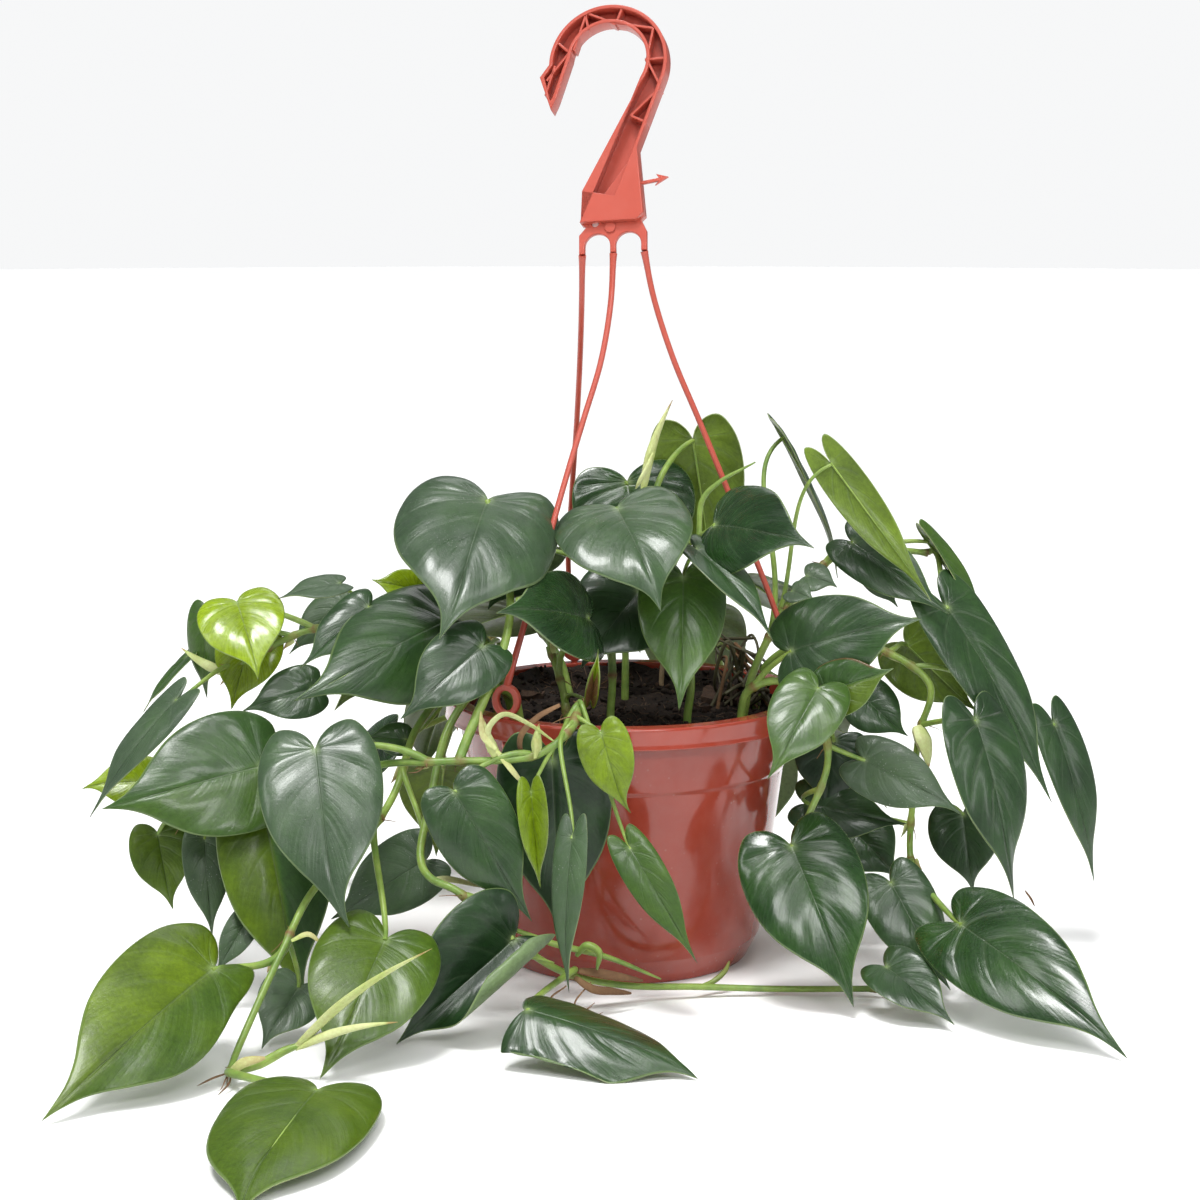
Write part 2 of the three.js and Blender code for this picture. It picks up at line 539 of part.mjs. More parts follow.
// Leafy stems. Each route starts above its hole in the soil. Spikes are sheaths, buds and roots.
const vines = {
  crown_centre: {
    route: [[-8, -12, 131], [-7, -10, 150], [-9, -4, 168], [-14, 4, 186]],
    leaves: [
      leaf(0.35, [-5, -43, 244], [17, -92, 200], frontUp, 35, 8, 30),
      leaf(0.95, [1, 27, 249], [9, 17, 190], front, 34, 8, 15),
      leaf(0.6, [7, -20, 198], [-24, -46, 162], front, 28, 10, 20),
    ],
  },
  crown_right: {
    route: [[32, -20, 131], [34, -18, 150], [30, -8, 174], [22, -6, 200], [12, -8, 232], [9, -8, 250]],
    leaves: [
      leaf(0.25, [29, -40, 208], [27, -78, 146], front, 22, 8, 20),
      leaf(0.35, [35, -50, 224], [73, -92, 185], frontRight, 13, 20, 20),
      leaf(0.55, [44, -42, 235], [92, -88, 232], front, 26, 8, 20),
      leaf(0.75, [36, 32, 271], [47, 34, 194], under, 26, 6, 15),
    ],
    spikes: [[[9, -8, 249], [24, -6, 295], 2.6]],
  },
  crown_left: {
    route: [[-30, -40, 131], [-33, -36, 150], [-40, -30, 170]],
    leaves: [
      leaf(0.6, [-19, -55, 189], [-64, -108, 203], front, 25, 10, 25),
      leaf(0.9, [-53, -34, 214], [-71, -56, 194], front, 13, 10, 15),
      leaf(0.2, [-18, -69, 150], [-14, -72, 176], front, 6, 55, 10),
    ],
  },
  front_vine: {
    route: [
      [-24, -66, 131], [-24, -70, 144], [-24, -92, 151], [-28, -108, 143], [-44, -115, 132],
      [-93, -118, 129], [-120, -111, 126], [-157, -96, 110], [-190, -80, 98], [-222, -66, 90],
    ],
    leaves: [
      leaf(0.53, [-70, -48, 249], [-88, -112, 189], frontUp, 42, 6, 25, [-58, -82, 196]),
      leaf(0.3, [-47, -122, 115], [-43, -127, 67], front, 11, 50, 15),
      leaf(0.28, [-13, -113, 142], [-1, -117, 102], front, 14, 15, 15),
      leaf(0.45, [-84, -128, 117], [-47, -132, 52], front, 22, 8, 15),
      leaf(0.57, [-151, -126, 137], [-137, -172, 60], front, 30, 8, 20),
      leaf(0.8, [-182, -84, 119], [-258, -109, 102], front, 33, 8, 20),
      leaf(0.95, [-245, -38, 101], [-281, -42, 99], front, 14, 15, 15),
      leaf(1, [-241, -50, 76], [-233, -60, 38], front, 16, 15, 15),
      leaf(0.95, [-213, -76, 80], [-208, -90, 32], front, 12, 15, 20),
      leaf(0.9, [-188, -102, 46], [-204, -114, 20], front, 9, 20, 15),
      leaf(0.8, [-180, -92, 96], [-160, -120, 5], front, 28, 10, 20),
      leaf(0.35, [-27, -152, 100], [-29, -174, 30], frontLeft, 10, 10, 20),
      leaf(0.22, [-37, -102, 126], [-33, -98, 32], front, 28, 4, 10),
      leaf(0.2, [1, -118, 86], [34, -130, 31], front, 11, 15, 15),
    ],
    spikes: [
      [[-63, -117, 130], [-70, -120, 151], 2.6],
      [[-44, -115, 132], [-43, -118, 148], 2.8],
    ],
  },
  left_high: {
    route: [
      [-60, -6, 131], [-66, -10, 150], [-86, -20, 168], [-120, -30, 178], [-160, -34, 180],
      [-207, -36, 157],
    ],
    leaves: [
      leaf(0.12, [-89, -63, 190], [-161, -112, 156], front, 32, -15, 25),
      leaf(0.1, [-71, -95, 182], [-110, -119, 150], front, 20, 8, 20),
      leaf(0.4, [-107, -34, 200], [-130, -40, 206], front, 10, 15, 15),
      leaf(0.42, [-107, -20, 194], [-127, -22, 186], front, 8, 15, 15),
      leaf(0.5, [-130, -60, 196], [-162, -80, 168], frontUp, 14, 10, 20),
      leaf(0.6, [-146, -42, 205], [-176, -54, 199], up, 11, 10, 15),
      leaf(0.62, [-146, -16, 191], [-175, -24, 165], frontUp, 13, 10, 15),
      leaf(0.45, [-159, -56, 153], [-194, -66, 144], front, 14, 10, 15),
      leaf(0.2, [-112, -62, 128], [-132, -64, 130], front, 9, 10, 15),
      leaf(0.8, [-198, -46, 196], [-183, -78, 163], frontUp, 22, 8, 20),
      leaf(0.85, [-192, -32, 177], [-203, -42, 139], front, 18, 8, 15),
      leaf(0.9, [-217, -24, 186], [-218, -28, 142], frontLeft, 13, 10, 15),
      leaf(0.98, [-228, -22, 163], [-251, -27, 135], left, 10, 10, 15),
      leaf(0.97, [-228, -60, 148], [-271, -74, 90], steepLeft, 14, 10, 20),
    ],
    spikes: [[[-206, -36, 157], [-229, -34, 170], 2.4]],
  },
  left_floor: {
    route: [
      [-66, -24, 131], [-70, -28, 147], [-88, -44, 152], [-106, -62, 134], [-116, -88, 106],
      [-130, -114, 88], [-152, -140, 70], [-164, -165, 48], [-181, -205, 12], [-183, -217, 6],
    ],
    leaves: [
      leaf(0.4, [-100, -104, 76], [-147, -107, 46], front, 19, 10, 15),
      leaf(0.5, [-115, -165, 54], [-139, -219, 3], front, 30, 8, 20),
      leaf(0.75, [-158, -150, 26], [-174, -176, 4], front, 16, 15, 15),
      leaf(0.75, [-193, -190, 47], [-257, -272, 3], front, 34, 8, 25),
      leaf(1, [-138, -262, 14], [-161, -372, 3], up, 31, 6, 15),
    ],
    spikes: [
      [[-182, -216, 6], [-151, -212, 17], 2],
      [[-153, -212, 16], [-89, -228, 68], 2.4],
      [[-153, -212, 16], [-105, -226, 33], 2],
      [[-164, -165, 48], [-172, -160, 36], 0.9],
    ],
  },
  front_floor: {
    route: [
      [-54, -42, 131], [-58, -46, 147], [-74, -60, 154], [-89, -80, 138], [-97, -104, 106],
      [-101, -122, 82], [-96, -132, 75], [-82, -140, 70], [-61, -138, 50], [-32, -114, 22],
      [-2, -98, 10], [37, -88, 6], [74, -85, 4], [126, -88, 5],
    ],
    leaves: [
      leaf(0.55, [-55, -138, 46], [-111, -168, 4], frontRight, 30, 20, 15),
      leaf(0.7, [-50, -186, 27], [33, -210, 4], up, 27, -25, 12),
      leaf(1, [128, -112, 24], [158, -144, 5], frontUp, 16, 20, 15),
    ],
  },
  right_high: {
    route: [
      [62, -12, 131], [66, -10, 150], [78, -6, 176], [94, 0, 198], [112, 6, 212], [140, 12, 214],
      [160, 16, 212],
    ],
    leaves: [
      leaf(0.35, [105, -20, 264], [156, -45, 196], under, 11, 8, 20),
      leaf(0.3, [83, 18, 274], [115, 20, 198], edgeRight, 20, 8, 20),
      leaf(0.6, [118, -5, 221], [166, -30, 186], front, 16, 8, 20),
      leaf(0.8, [160, 14, 219], [193, 6, 158], right, 16, 30, 20),
      leaf(0.45, [94, -12, 204], [110, -18, 200], frontUp, 10, 15, 15),
      leaf(0.4, [86, -18, 197], [97, -26, 194], frontUp, 8, 15, 15),
      leaf(0.7, [128, 14, 204], [145, 12, 183], front, 8, 15, 15),
      leaf(1, [167, -14, 188], [221, -34, 88], frontRight, 23, 10, 20),
    ],
  },
  right_mid: {
    route: [
      [58, -46, 131], [62, -48, 150], [80, -54, 156], [98, -60, 138], [102, -62, 116],
      [92, -74, 92], [84, -82, 78],
    ],
    leaves: [
      leaf(0.2, [82, -66, 174], [145, -86, 195], front, 23, 6, 25),
      leaf(0.35, [99, -84, 157], [131, -94, 170], front, 15, 15, 15),
      leaf(0.45, [94, -94, 161], [69, -122, 121], frontUp, 18, 8, 20),
      leaf(0.6, [121, -56, 116], [170, -74, 93], front, 17, 8, 15),
      leaf(1, [82, -90, 80], [112, -124, 7], front, 30, 8, 25),
      leaf(0.5, [108, -28, 120], [103, -36, 84], front, 20, 8, 15),
      leaf(0.75, [94, -34, 88], [145, -44, 78], front, 16, 8, 15),
    ],
  },
  right_far: {
    route: [
      [70, 14, 131], [74, 14, 150], [96, 6, 166], [130, -10, 166], [158, -22, 148],
      [153, -20, 121], [150, -24, 87], [148, -34, 61], [150, -50, 50],
    ],
    leaves: [
      leaf(0.4, [150, 20, 162], [187, 10, 127], under, 20, 10, 15),
      leaf(0.35, [124, -4, 139], [148, -12, 118], front, 15, 10, 15),
      leaf(0.6, [178, -52, 136], [195, -76, 48], frontRight, 24, 8, 20),
      leaf(0.45, [227, 0, 123], [249, -10, 39], frontRight, 16, 10, 20),
      leaf(0.75, [181, 8, 72], [185, -2, 31], front, 19, 10, 15),
      leaf(0.8, [120, 8, 65], [146, -6, 40], front, 20, 10, 15),
      leaf(1, [164, -112, 46], [235, -188, 4], front, 26, 8, 25),
      leaf(0.9, [134, -72, 56], [161, -96, 6], front, 19, 10, 15),
    ],
    spikes: [[[152, -22, 126], [157, -32, 106], 5]],
  },
  back_top: {
    route: [[0, 28, 131], [0, 32, 160], [-4, 40, 196]],
    leaves: [
      leaf(0.95, [6, 60, 228], [-4, 104, 194], back, 27, 8, 20),
      leaf(0.9, [32, 46, 236], [60, 88, 204], back, 27, 8, 20),
      leaf(0.6, [8, 62, 186], [8, 110, 142], back, 29, 8, 20),
      leaf(0.8, [-46, 34, 214], [-90, 46, 190], backLeft, 24, 8, 20),
    ],
  },
  back_left: {
    route: [
      [-30, 40, 131], [-36, 46, 150], [-56, 66, 168], [-78, 84, 150], [-92, 98, 116], [-104, 110, 80],
    ],
    leaves: [
      leaf(0.3, [-56, 36, 178], [-100, 62, 156], backLeft, 28, 8, 20),
      leaf(0.4, [-60, 96, 180], [-100, 142, 142], backLeft, 30, 8, 20),
      leaf(0.55, [-110, 70, 150], [-166, 96, 112], backLeft, 28, 8, 20),
      leaf(0.75, [-96, 124, 126], [-120, 160, 58], backLeft, 28, 8, 20),
      leaf(0.85, [-136, 96, 92], [-180, 118, 44], left, 26, 8, 20),
      leaf(1, [-104, 130, 70], [-112, 164, 8], back, 27, 8, 20),
    ],
  },
  back_right: {
    route: [
      [30, 46, 131], [34, 52, 150], [44, 76, 170], [52, 98, 150], [58, 110, 112], [62, 120, 70],
    ],
    leaves: [
      leaf(0.35, [66, 70, 190], [104, 110, 154], backRight, 29, 8, 20),
      leaf(0.55, [40, 120, 160], [46, 158, 96], back, 31, 8, 20),
      leaf(0.6, [92, 104, 126], [134, 138, 78], backRight, 28, 8, 20),
      leaf(0.9, [70, 134, 80], [84, 164, 10], back, 28, 8, 20),
      leaf(0.8, [108, 80, 100], [152, 108, 52], backRight, 26, 8, 20),
    ],
  },
};

const group = new THREE.Group();
group.add(pot(), soil(Object.values(vines)), hook());
group.add(strand("frontLeft", pillars[1], strandRoutes.frontLeft));
group.add(strand("right", pillars[2], strandRoutes.right));
group.add(strand("back", pillars[0], strandRoutes.back));
for (const [name, stem] of Object.entries(vines)) group.add(vine(name, stem));

export default group;
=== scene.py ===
import math
import random

import bmesh
import bpy
from mathutils import Matrix, Vector, noise


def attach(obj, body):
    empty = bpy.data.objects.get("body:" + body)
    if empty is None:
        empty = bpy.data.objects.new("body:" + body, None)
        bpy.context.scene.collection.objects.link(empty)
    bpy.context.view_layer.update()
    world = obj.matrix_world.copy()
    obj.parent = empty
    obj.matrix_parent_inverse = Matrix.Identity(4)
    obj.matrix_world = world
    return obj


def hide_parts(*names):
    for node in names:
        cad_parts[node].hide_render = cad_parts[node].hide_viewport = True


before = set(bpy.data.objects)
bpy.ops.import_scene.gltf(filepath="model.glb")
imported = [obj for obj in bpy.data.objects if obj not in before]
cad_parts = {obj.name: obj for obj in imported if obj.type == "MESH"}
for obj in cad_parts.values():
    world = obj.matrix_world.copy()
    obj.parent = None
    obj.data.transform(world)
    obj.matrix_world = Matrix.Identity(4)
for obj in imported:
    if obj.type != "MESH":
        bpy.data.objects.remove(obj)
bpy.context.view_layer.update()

# Potted heartleaf philodendron. Places are in millimetres, +Z up, from the centre of the pot's foot.
mm = 0.001
# Vector noise starts from the clock unless it is seeded, and each run has to give the same shapes
noise.seed_set(1)
print("loaded the part:", len(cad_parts), "nodes")


# Curves and mesh tools
# A centripetal spline through the points, at a share of its run from point to point
def splinePoint(points, share):
    last = len(points) - 1
    at = min(max(share, 0), 1) * last
    i = min(int(at), last - 1)
    t = at - i
    p = [Vector(q) for q in points[max(i - 1, 0):i + 3]]
    if i == 0:
        p.insert(0, p[0] * 2 - p[1])
    if i == last - 1:
        p.append(p[-1] * 2 - p[-2])
    d = [max((b - a).length, 1e-4) ** 0.5 for a, b in zip(p, p[1:])]
    m1 = ((p[1] - p[0]) / d[0] - (p[2] - p[0]) / (d[0] + d[1]) + (p[2] - p[1]) / d[1]) * d[1]
    m2 = ((p[2] - p[1]) / d[1] - (p[3] - p[1]) / (d[1] + d[2]) + (p[3] - p[2]) / d[2]) * d[1]
    c2 = 3 * (p[2] - p[1]) - 2 * m1 - m2
    c3 = 2 * (p[1] - p[2]) + m1 + m2
    return p[1] + m1 * t + c2 * t * t + c3 * t * t * t


def splinePath(points, step):
    rough = sum((Vector(b) - Vector(a)).length for a, b in zip(points, points[1:]))
    count = max(6, round(rough / step))
    return [splinePoint(points, i / count) for i in range(count + 1)]


def bezierPath(a, b, c, d, count):
    path = []
    for i in range(count + 1):
        t = i / count
        u = 1 - t
        path.append(a * u ** 3 + b * (3 * u * u * t) + c * (3 * u * t * t) + d * t ** 3)
    return path


def arcPoints(centre, radius, start, end, steps):
    angles = [math.radians(start + (end - start) * i / steps) for i in range(steps + 1)]
    return [(centre[0] + radius * math.cos(a), centre[1] + radius * math.sin(a)) for a in angles]


def ellipsePoints(wide, high, steps):
    turns = [2 * math.pi * i / steps for i in range(steps)]
    return [(wide * math.cos(a), high * math.sin(a)) for a in turns]


# A round or flattened tube along a path, closed at both ends
def addTube(bm, path, radii, sides, material=0, flat=1.0, scar=None):
    layer = bm.verts.layers.float.get("scar")
    heading = (path[1] - path[0]).normalized()
    across = heading.orthogonal().normalized()
    rings = []
    for i, place in enumerate(path):
        ahead = path[min(i + 1, len(path) - 1)] - path[max(i - 1, 0)]
        if ahead.length > 1e-6:
            turned = heading.rotation_difference(ahead)
            across = (turned @ across).normalized()
            heading = ahead.normalized()
        other = heading.cross(across)
        ring = []
        for k in range(sides):
            a = 2 * math.pi * k / sides
            spot = place + (across * math.cos(a) + other * (math.sin(a) * flat)) * radii[i]
            vert = bm.verts.new(spot)
            if scar and layer:
                vert[layer] = scar[i]
            ring.append(vert)
        rings.append(ring)
    for low, high in zip(rings, rings[1:]):
        for k in range(sides):
            face = bm.faces.new((low[k], low[(k + 1) % sides], high[(k + 1) % sides], high[k]))
            face.material_index = material
    for ring in (rings[0][::-1], rings[-1]):
        bm.faces.new(ring).material_index = material


# Corners are (radius, height, rounding); each is rounded off with a short curve
def roundedProfile(corners, steps=4):
    profile = []
    for i, (r, z, rounding) in enumerate(corners):
        here = Vector((r, z))
        if not rounding:
            profile.append(here)
            continue
        before = Vector(corners[i - 1][:2]) - here
        after = Vector(corners[(i + 1) % len(corners)][:2]) - here
        a = here + before.normalized() * min(rounding, before.length * 0.45)
        b = here + after.normalized() * min(rounding, after.length * 0.45)
        for k in range(steps + 1):
            t = k / steps
            profile.append(a * (1 - t) ** 2 + here * (2 * t * (1 - t)) + b * t * t)
    return profile


def addLathe(bm, profile, sides, closed=True):
    rings = []
    for i in range(sides):
        a = 2 * math.pi * i / sides
        rings.append([bm.verts.new((p[0] * math.cos(a), p[0] * math.sin(a), p[1])) for p in profile])
    count = len(profile) if closed else len(profile) - 1
    for i, ring in enumerate(rings):
        following = rings[(i + 1) % sides]
        for k in range(count):
            n = (k + 1) % len(profile)
            bm.faces.new((ring[k], following[k], following[n], ring[n]))


# A flat piece with rounded edges, from outlines in its own plane; inner outlines are holes
def addPlate(bm, outlines, thick, rounding, middle, place, material=0):
    curve = bpy.data.curves.new("outline", "CURVE")
    curve.dimensions = "2D"
    curve.fill_mode = "BOTH"
    curve.extrude = thick / 2 - rounding
    curve.bevel_depth = rounding
    curve.bevel_resolution = 2
    curve.offset = -rounding
    for outline in outlines:
        spline = curve.splines.new("POLY")
        spline.points.add(len(outline) - 1)
        for point, (x, y) in zip(spline.points, outline):
            point.co = (x, y, 0, 1)
        spline.use_cyclic_u = True
    holder = bpy.data.objects.new("outline", curve)
    bpy.context.scene.collection.objects.link(holder)
    ready = holder.evaluated_get(bpy.context.evaluated_depsgraph_get())
    mesh = bpy.data.meshes.new_from_object(ready)
    mesh.transform(place @ Matrix.Translation((0, 0, middle)))
    first = len(bm.faces)
    bm.from_mesh(mesh)
    bm.faces.ensure_lookup_table()
    for face in bm.faces[first:]:
        face.material_index = material
    bpy.data.objects.remove(holder)
    bpy.data.curves.remove(curve)
    bpy.data.meshes.remove(mesh)


def newPiece(name, bm, materials, nodes, sharp=40):
    bmesh.ops.scale(bm, vec=(mm, mm, mm), verts=bm.verts)
    mesh = bpy.data.meshes.new(name)
    bm.to_mesh(mesh)
    bm.free()
    for material in materials:
        mesh.materials.append(material)
    mesh.shade_smooth()
    mesh.set_sharp_from_angle(angle=math.radians(sharp))
    piece = bpy.data.objects.new(name, mesh)
    bpy.context.scene.collection.objects.link(piece)
    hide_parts(*nodes)
    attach(piece, "root")
    return piece


# Shader tools
def newMaterial(name, fixed):
    material = bpy.data.materials.new(name)
    material.use_nodes = True
    tree = material.node_tree
    shader = tree.nodes["Principled BSDF"]
    for socket, value in fixed.items():
        shader.inputs[socket].default_value = value
    return material, tree, shader


def addNode(tree, kind, inputs=None, **settings):
    node = tree.nodes.new(kind)
    for name, value in settings.items():
        setattr(node, name, value)
    for key, value in (inputs or {}).items():
        if isinstance(value, bpy.types.NodeSocket):
            tree.links.new(value, node.inputs[key])
        else:
            node.inputs[key].default_value = value
    return node


def calc(tree, operation, a, b=0.0, clamp=False):
    node = addNode(tree, "ShaderNodeMath", {0: a, 1: b}, operation=operation)
    node.use_clamp = clamp
    return node.outputs[0]


def blendColour(tree, factor, a, b, kind="MIX"):
    node = addNode(tree, "ShaderNodeMix", {0: factor, 6: a, 7: b}, data_type="RGBA", blend_type=kind)
    return node.outputs[2]


def ramp(tree, factor, stops):
    node = addNode(tree, "ShaderNodeValToRGB", {0: factor})
    elements = node.color_ramp.elements
    while len(elements) < len(stops):
        elements.new(0.5)
    for element, (place, colour) in zip(elements, stops):
        element.position = place
        element.color = (*colour, 1)
    return node.outputs[0]


def spread(tree, value, low, high, start=0.0, end=1.0):
    node = addNode(tree, "ShaderNodeMapRange", {0: value, 1: low, 2: high, 3: start, 4: end})
    return node.outputs[0]


def noiseAt(tree, vector, scale, detail=4.0, roughness=0.55):
    inputs = {"Vector": vector, "Scale": scale, "Detail": detail, "Roughness": roughness}
    return addNode(tree, "ShaderNodeTexNoise", inputs).outputs[0]


def mark(tree, name):
    return addNode(tree, "ShaderNodeAttribute", attribute_name=name).outputs["Fac"]


def objectPlace(tree):
    return addNode(tree, "ShaderNodeTexCoord").outputs["Object"]


def addBump(tree, shader, height, strength, distance):
    inputs = {"Height": height, "Strength": strength, "Distance": distance}
    bump = addNode(tree, "ShaderNodeBump", inputs)
    tree.links.new(bump.outputs[0], shader.inputs["Normal"])


def newGroup(name, inputs, outputs):
    group = bpy.data.node_groups.new(name, "ShaderNodeTree")
    for socket, kind in inputs.items():
        group.interface.new_socket(socket, in_out="INPUT", socket_type=kind)
    for socket in outputs:
        group.interface.new_socket(socket, in_out="OUTPUT", socket_type="NodeSocketFloat")
    return group, group.nodes.new("NodeGroupInput").outputs, group.nodes.new("NodeGroupOutput").inputs


def useGroup(tree, group, inputs):
    return addNode(tree, "ShaderNodeGroup", inputs, node_tree=group).outputs


# Dust and lime: fine pale specks and soft smudged patches, for leaves, stems and plastic
def buildDust():
    inputs = {"Vector": "NodeSocketVector", "Fineness": "NodeSocketFloat", "Amount": "NodeSocketFloat"}
    group, given, out = newGroup("dustAndLime", inputs, ("Specks", "Smudge"))
    grains = addNode(group, "ShaderNodeTexVoronoi", {"Vector": given["Vector"], "Scale": given["Fineness"]})
    near = spread(group, grains.outputs["Distance"], 0.2, 0.05)
    patches = noiseAt(group, given["Vector"], 45.0, 3.0)
    some = spread(group, patches, 0.5, 0.68)
    specks = calc(group, "MULTIPLY", calc(group, "MULTIPLY", near, some), given["Amount"], True)
    smudge = spread(group, noiseAt(group, given["Vector"], 110.0, 6.0, 0.7), 0.42, 0.72)
    group.links.new(specks, out["Specks"])
    group.links.new(calc(group, "MULTIPLY", smudge, given["Amount"], True), out["Smudge"])
    return group


# Veins of a heart-shaped blade. Its map runs from sinus to tip in U, and from edge to edge in V.
# FromRib is the distance from the midrib, as a share of the midrib's own width there
def buildVeins():
    inputs = {"Map": "NodeSocketVector", "Count": "NodeSocketFloat", "FromRib": "NodeSocketFloat"}
    group, given, out = newGroup("heartVeins", inputs, ("Rib", "Veins", "Streaks", "Edge"))
    parts = addNode(group, "ShaderNodeSeparateXYZ", {0: given["Map"]}).outputs
    fromMiddle = calc(group, "MULTIPLY", calc(group, "SUBTRACT", parts[1], 0.5), 2.0)
    offMiddle = calc(group, "ABSOLUTE", fromMiddle)
    waver = noiseAt(group, given["Map"], 5.0, 2.0)
    along = calc(group, "ADD", parts[0], calc(group, "MULTIPLY", waver, 0.04))
    saw = calc(group, "FRACT", calc(group, "MULTIPLY", along, given["Count"]))
    peak = calc(group, "MULTIPLY", calc(group, "ABSOLUTE", calc(group, "SUBTRACT", saw, 0.5)), 2.0)
    lowEnd = spread(group, offMiddle, 0.0, 1.0, 0.72, 0.93)
    above = calc(group, "SUBTRACT", peak, lowEnd)
    line = calc(group, "DIVIDE", above, calc(group, "SUBTRACT", 1.0, lowEnd), True)
    fade = spread(group, offMiddle, 0.5, 1.0, 1.0, 0.0)
    group.links.new(calc(group, "MULTIPLY", line, fade), out["Veins"])
    group.links.new(spread(group, given["FromRib"], 1.0, 0.35), out["Rib"])
    run = addNode(group, "ShaderNodeCombineXYZ", {
        0: calc(group, "MULTIPLY", parts[0], 60.0), 1: calc(group, "MULTIPLY", fromMiddle, 1.5), 2: 0.0,
    }).outputs[0]
    group.links.new(noiseAt(group, run, 1.0, 3.0, 0.5), out["Streaks"])
    group.links.new(spread(group, offMiddle, 0.968, 0.985), out["Edge"])
    return group


dust = buildDust()
veins = buildVeins()

leafTones = {
    "upper": [
        (0, (0.007, 0.025, 0.006)), (0.12, (0.015, 0.044, 0.01)), (0.36, (0.032, 0.082, 0.009)),
        (0.62, (0.062, 0.108, 0.003)), (1, (0.22, 0.32, 0.006)),
    ],
    "under": [
        (0, (0.12, 0.18, 0.075)), (0.35, (0.1, 0.16, 0.03)), (0.6, (0.085, 0.14, 0.008)),
        (1, (0.2, 0.3, 0.015)),
    ],
    "vein": (0.085, 0.12, 0.065, 1),
    "margin": (0.18, 0.26, 0.09, 1),
    "pale": (0.3, 0.4, 0.17, 1),
    "grey": (0.1, 0.135, 0.095, 1),
    "specks": (0.5, 0.52, 0.47, 1),
    "brown": (0.1, 0.05, 0.018, 1),
}


def leafMaterial(name, stops, veinStrength, dullest, glossiest, bumpStrength):
    material, tree, shader = newMaterial(name, {"Specular IOR Level": 0.36, "Coat Roughness": 0.16})
    place = objectPlace(tree)
    leafMap = addNode(tree, "ShaderNodeUVMap", uv_map="leafMap").outputs[0]
    lines = useGroup(tree, veins, {"Map": leafMap, "Count": 6.0, "FromRib": mark(tree, "fromRib")})
    bloomAndSheen = mark(tree, "bloomAndSheen")
    gloss = mark(tree, "gloss")
    ribs = mark(tree, "ribs")
    streaks = lines["Streaks"]
    film = useGroup(tree, dust, {"Vector": place, "Fineness": 620.0, "Amount": bloomAndSheen})
    broad = noiseAt(tree, place, 38.0, 3.0)
    fine = noiseAt(tree, place, 480.0, 4.0, 0.7)
    age = calc(tree, "ADD", mark(tree, "age"), spread(tree, broad, 0.3, 0.7, -0.06, 0.06), True)
    colour = ramp(tree, age, stops)
    mottle = spread(tree, fine, 0.3, 0.7, -0.2, 0.2)
    shade = calc(tree, "ADD", spread(tree, broad, 0.3, 0.7, 0.84, 1.14), mottle)
    # Streaks along the veins lighten and darken the colour: painted streaks of sheen
    shade = calc(tree, "ADD", shade, spread(tree, streaks, 0.3, 0.7, -0.07, 0.08))
    grey = addNode(tree, "ShaderNodeCombineColor", {0: shade, 1: shade, 2: shade}).outputs[0]
    colour = blendColour(tree, 1.0, colour, grey, "MULTIPLY")
    veinShare = calc(tree, "MULTIPLY", lines["Veins"], calc(tree, "MULTIPLY", ribs, veinStrength), True)
    colour = blendColour(tree, veinShare, colour, leafTones["vein"])
    # The grey that the blade's bloom mark lays over its colour is a painted sheen; the same mark also sets
    # the real dust specks and smudges
    tints = (
        (lines["Rib"], 0.3, "vein"), (mark(tree, "pale"), 0.6, "pale"), (lines["Edge"], 0.6, "margin"),
        (bloomAndSheen, 0.3, "grey"), (film["Smudge"], 0.3, "grey"), (film["Specks"], 0.55, "specks"),
    )
    for where, strength, tone in tints:
        colour = blendColour(tree, calc(tree, "MULTIPLY", where, strength), colour, leafTones[tone])
    spoilt = calc(tree, "MULTIPLY", mark(tree, "spoil"), spread(tree, fine, 0.25, 0.45), True)
    colour = blendColour(tree, spoilt, colour, leafTones["brown"])
    tree.links.new(colour, shader.inputs["Base Color"])
    rough = spread(tree, gloss, 0.0, 1.0, dullest, glossiest)
    rough = calc(tree, "ADD", rough, spread(tree, streaks, 0.3, 0.7, -0.05, 0.09))
    rough = calc(tree, "ADD", rough, calc(tree, "MULTIPLY", film["Smudge"], 0.14), True)
    tree.links.new(rough, shader.inputs["Roughness"])
    tree.links.new(calc(tree, "MULTIPLY", gloss, 0.45), shader.inputs["Coat Weight"])
    height = calc(tree, "MULTIPLY", calc(tree, "MULTIPLY", lines["Veins"], ribs), -0.9)
    for where, strength in ((lines["Rib"], -0.5), (streaks, 0.5), (fine, 0.4)):
        height = calc(tree, "ADD", height, calc(tree, "MULTIPLY", where, strength))
    addBump(tree, shader, height, bumpStrength, 0.0005)
    return material


def paleEdgeMaterial():
    material, tree, shader = newMaterial("leafEdge", {"Specular IOR Level": 0.4})
    shade = ramp(tree, mark(tree, "age"), [(0, (0.16, 0.21, 0.1)), (1, (0.38, 0.46, 0.16))])
    fine = noiseAt(tree, objectPlace(tree), 300.0)
    colour = blendColour(tree, spread(tree, fine, 0.35, 0.65, 0.0, 0.4), shade, (0.3, 0.3, 0.2, 1))
    tree.links.new(colour, shader.inputs["Base Color"])
    tree.links.new(spread(tree, fine, 0.3, 0.7, 0.4, 0.55), shader.inputs["Roughness"])
    return material


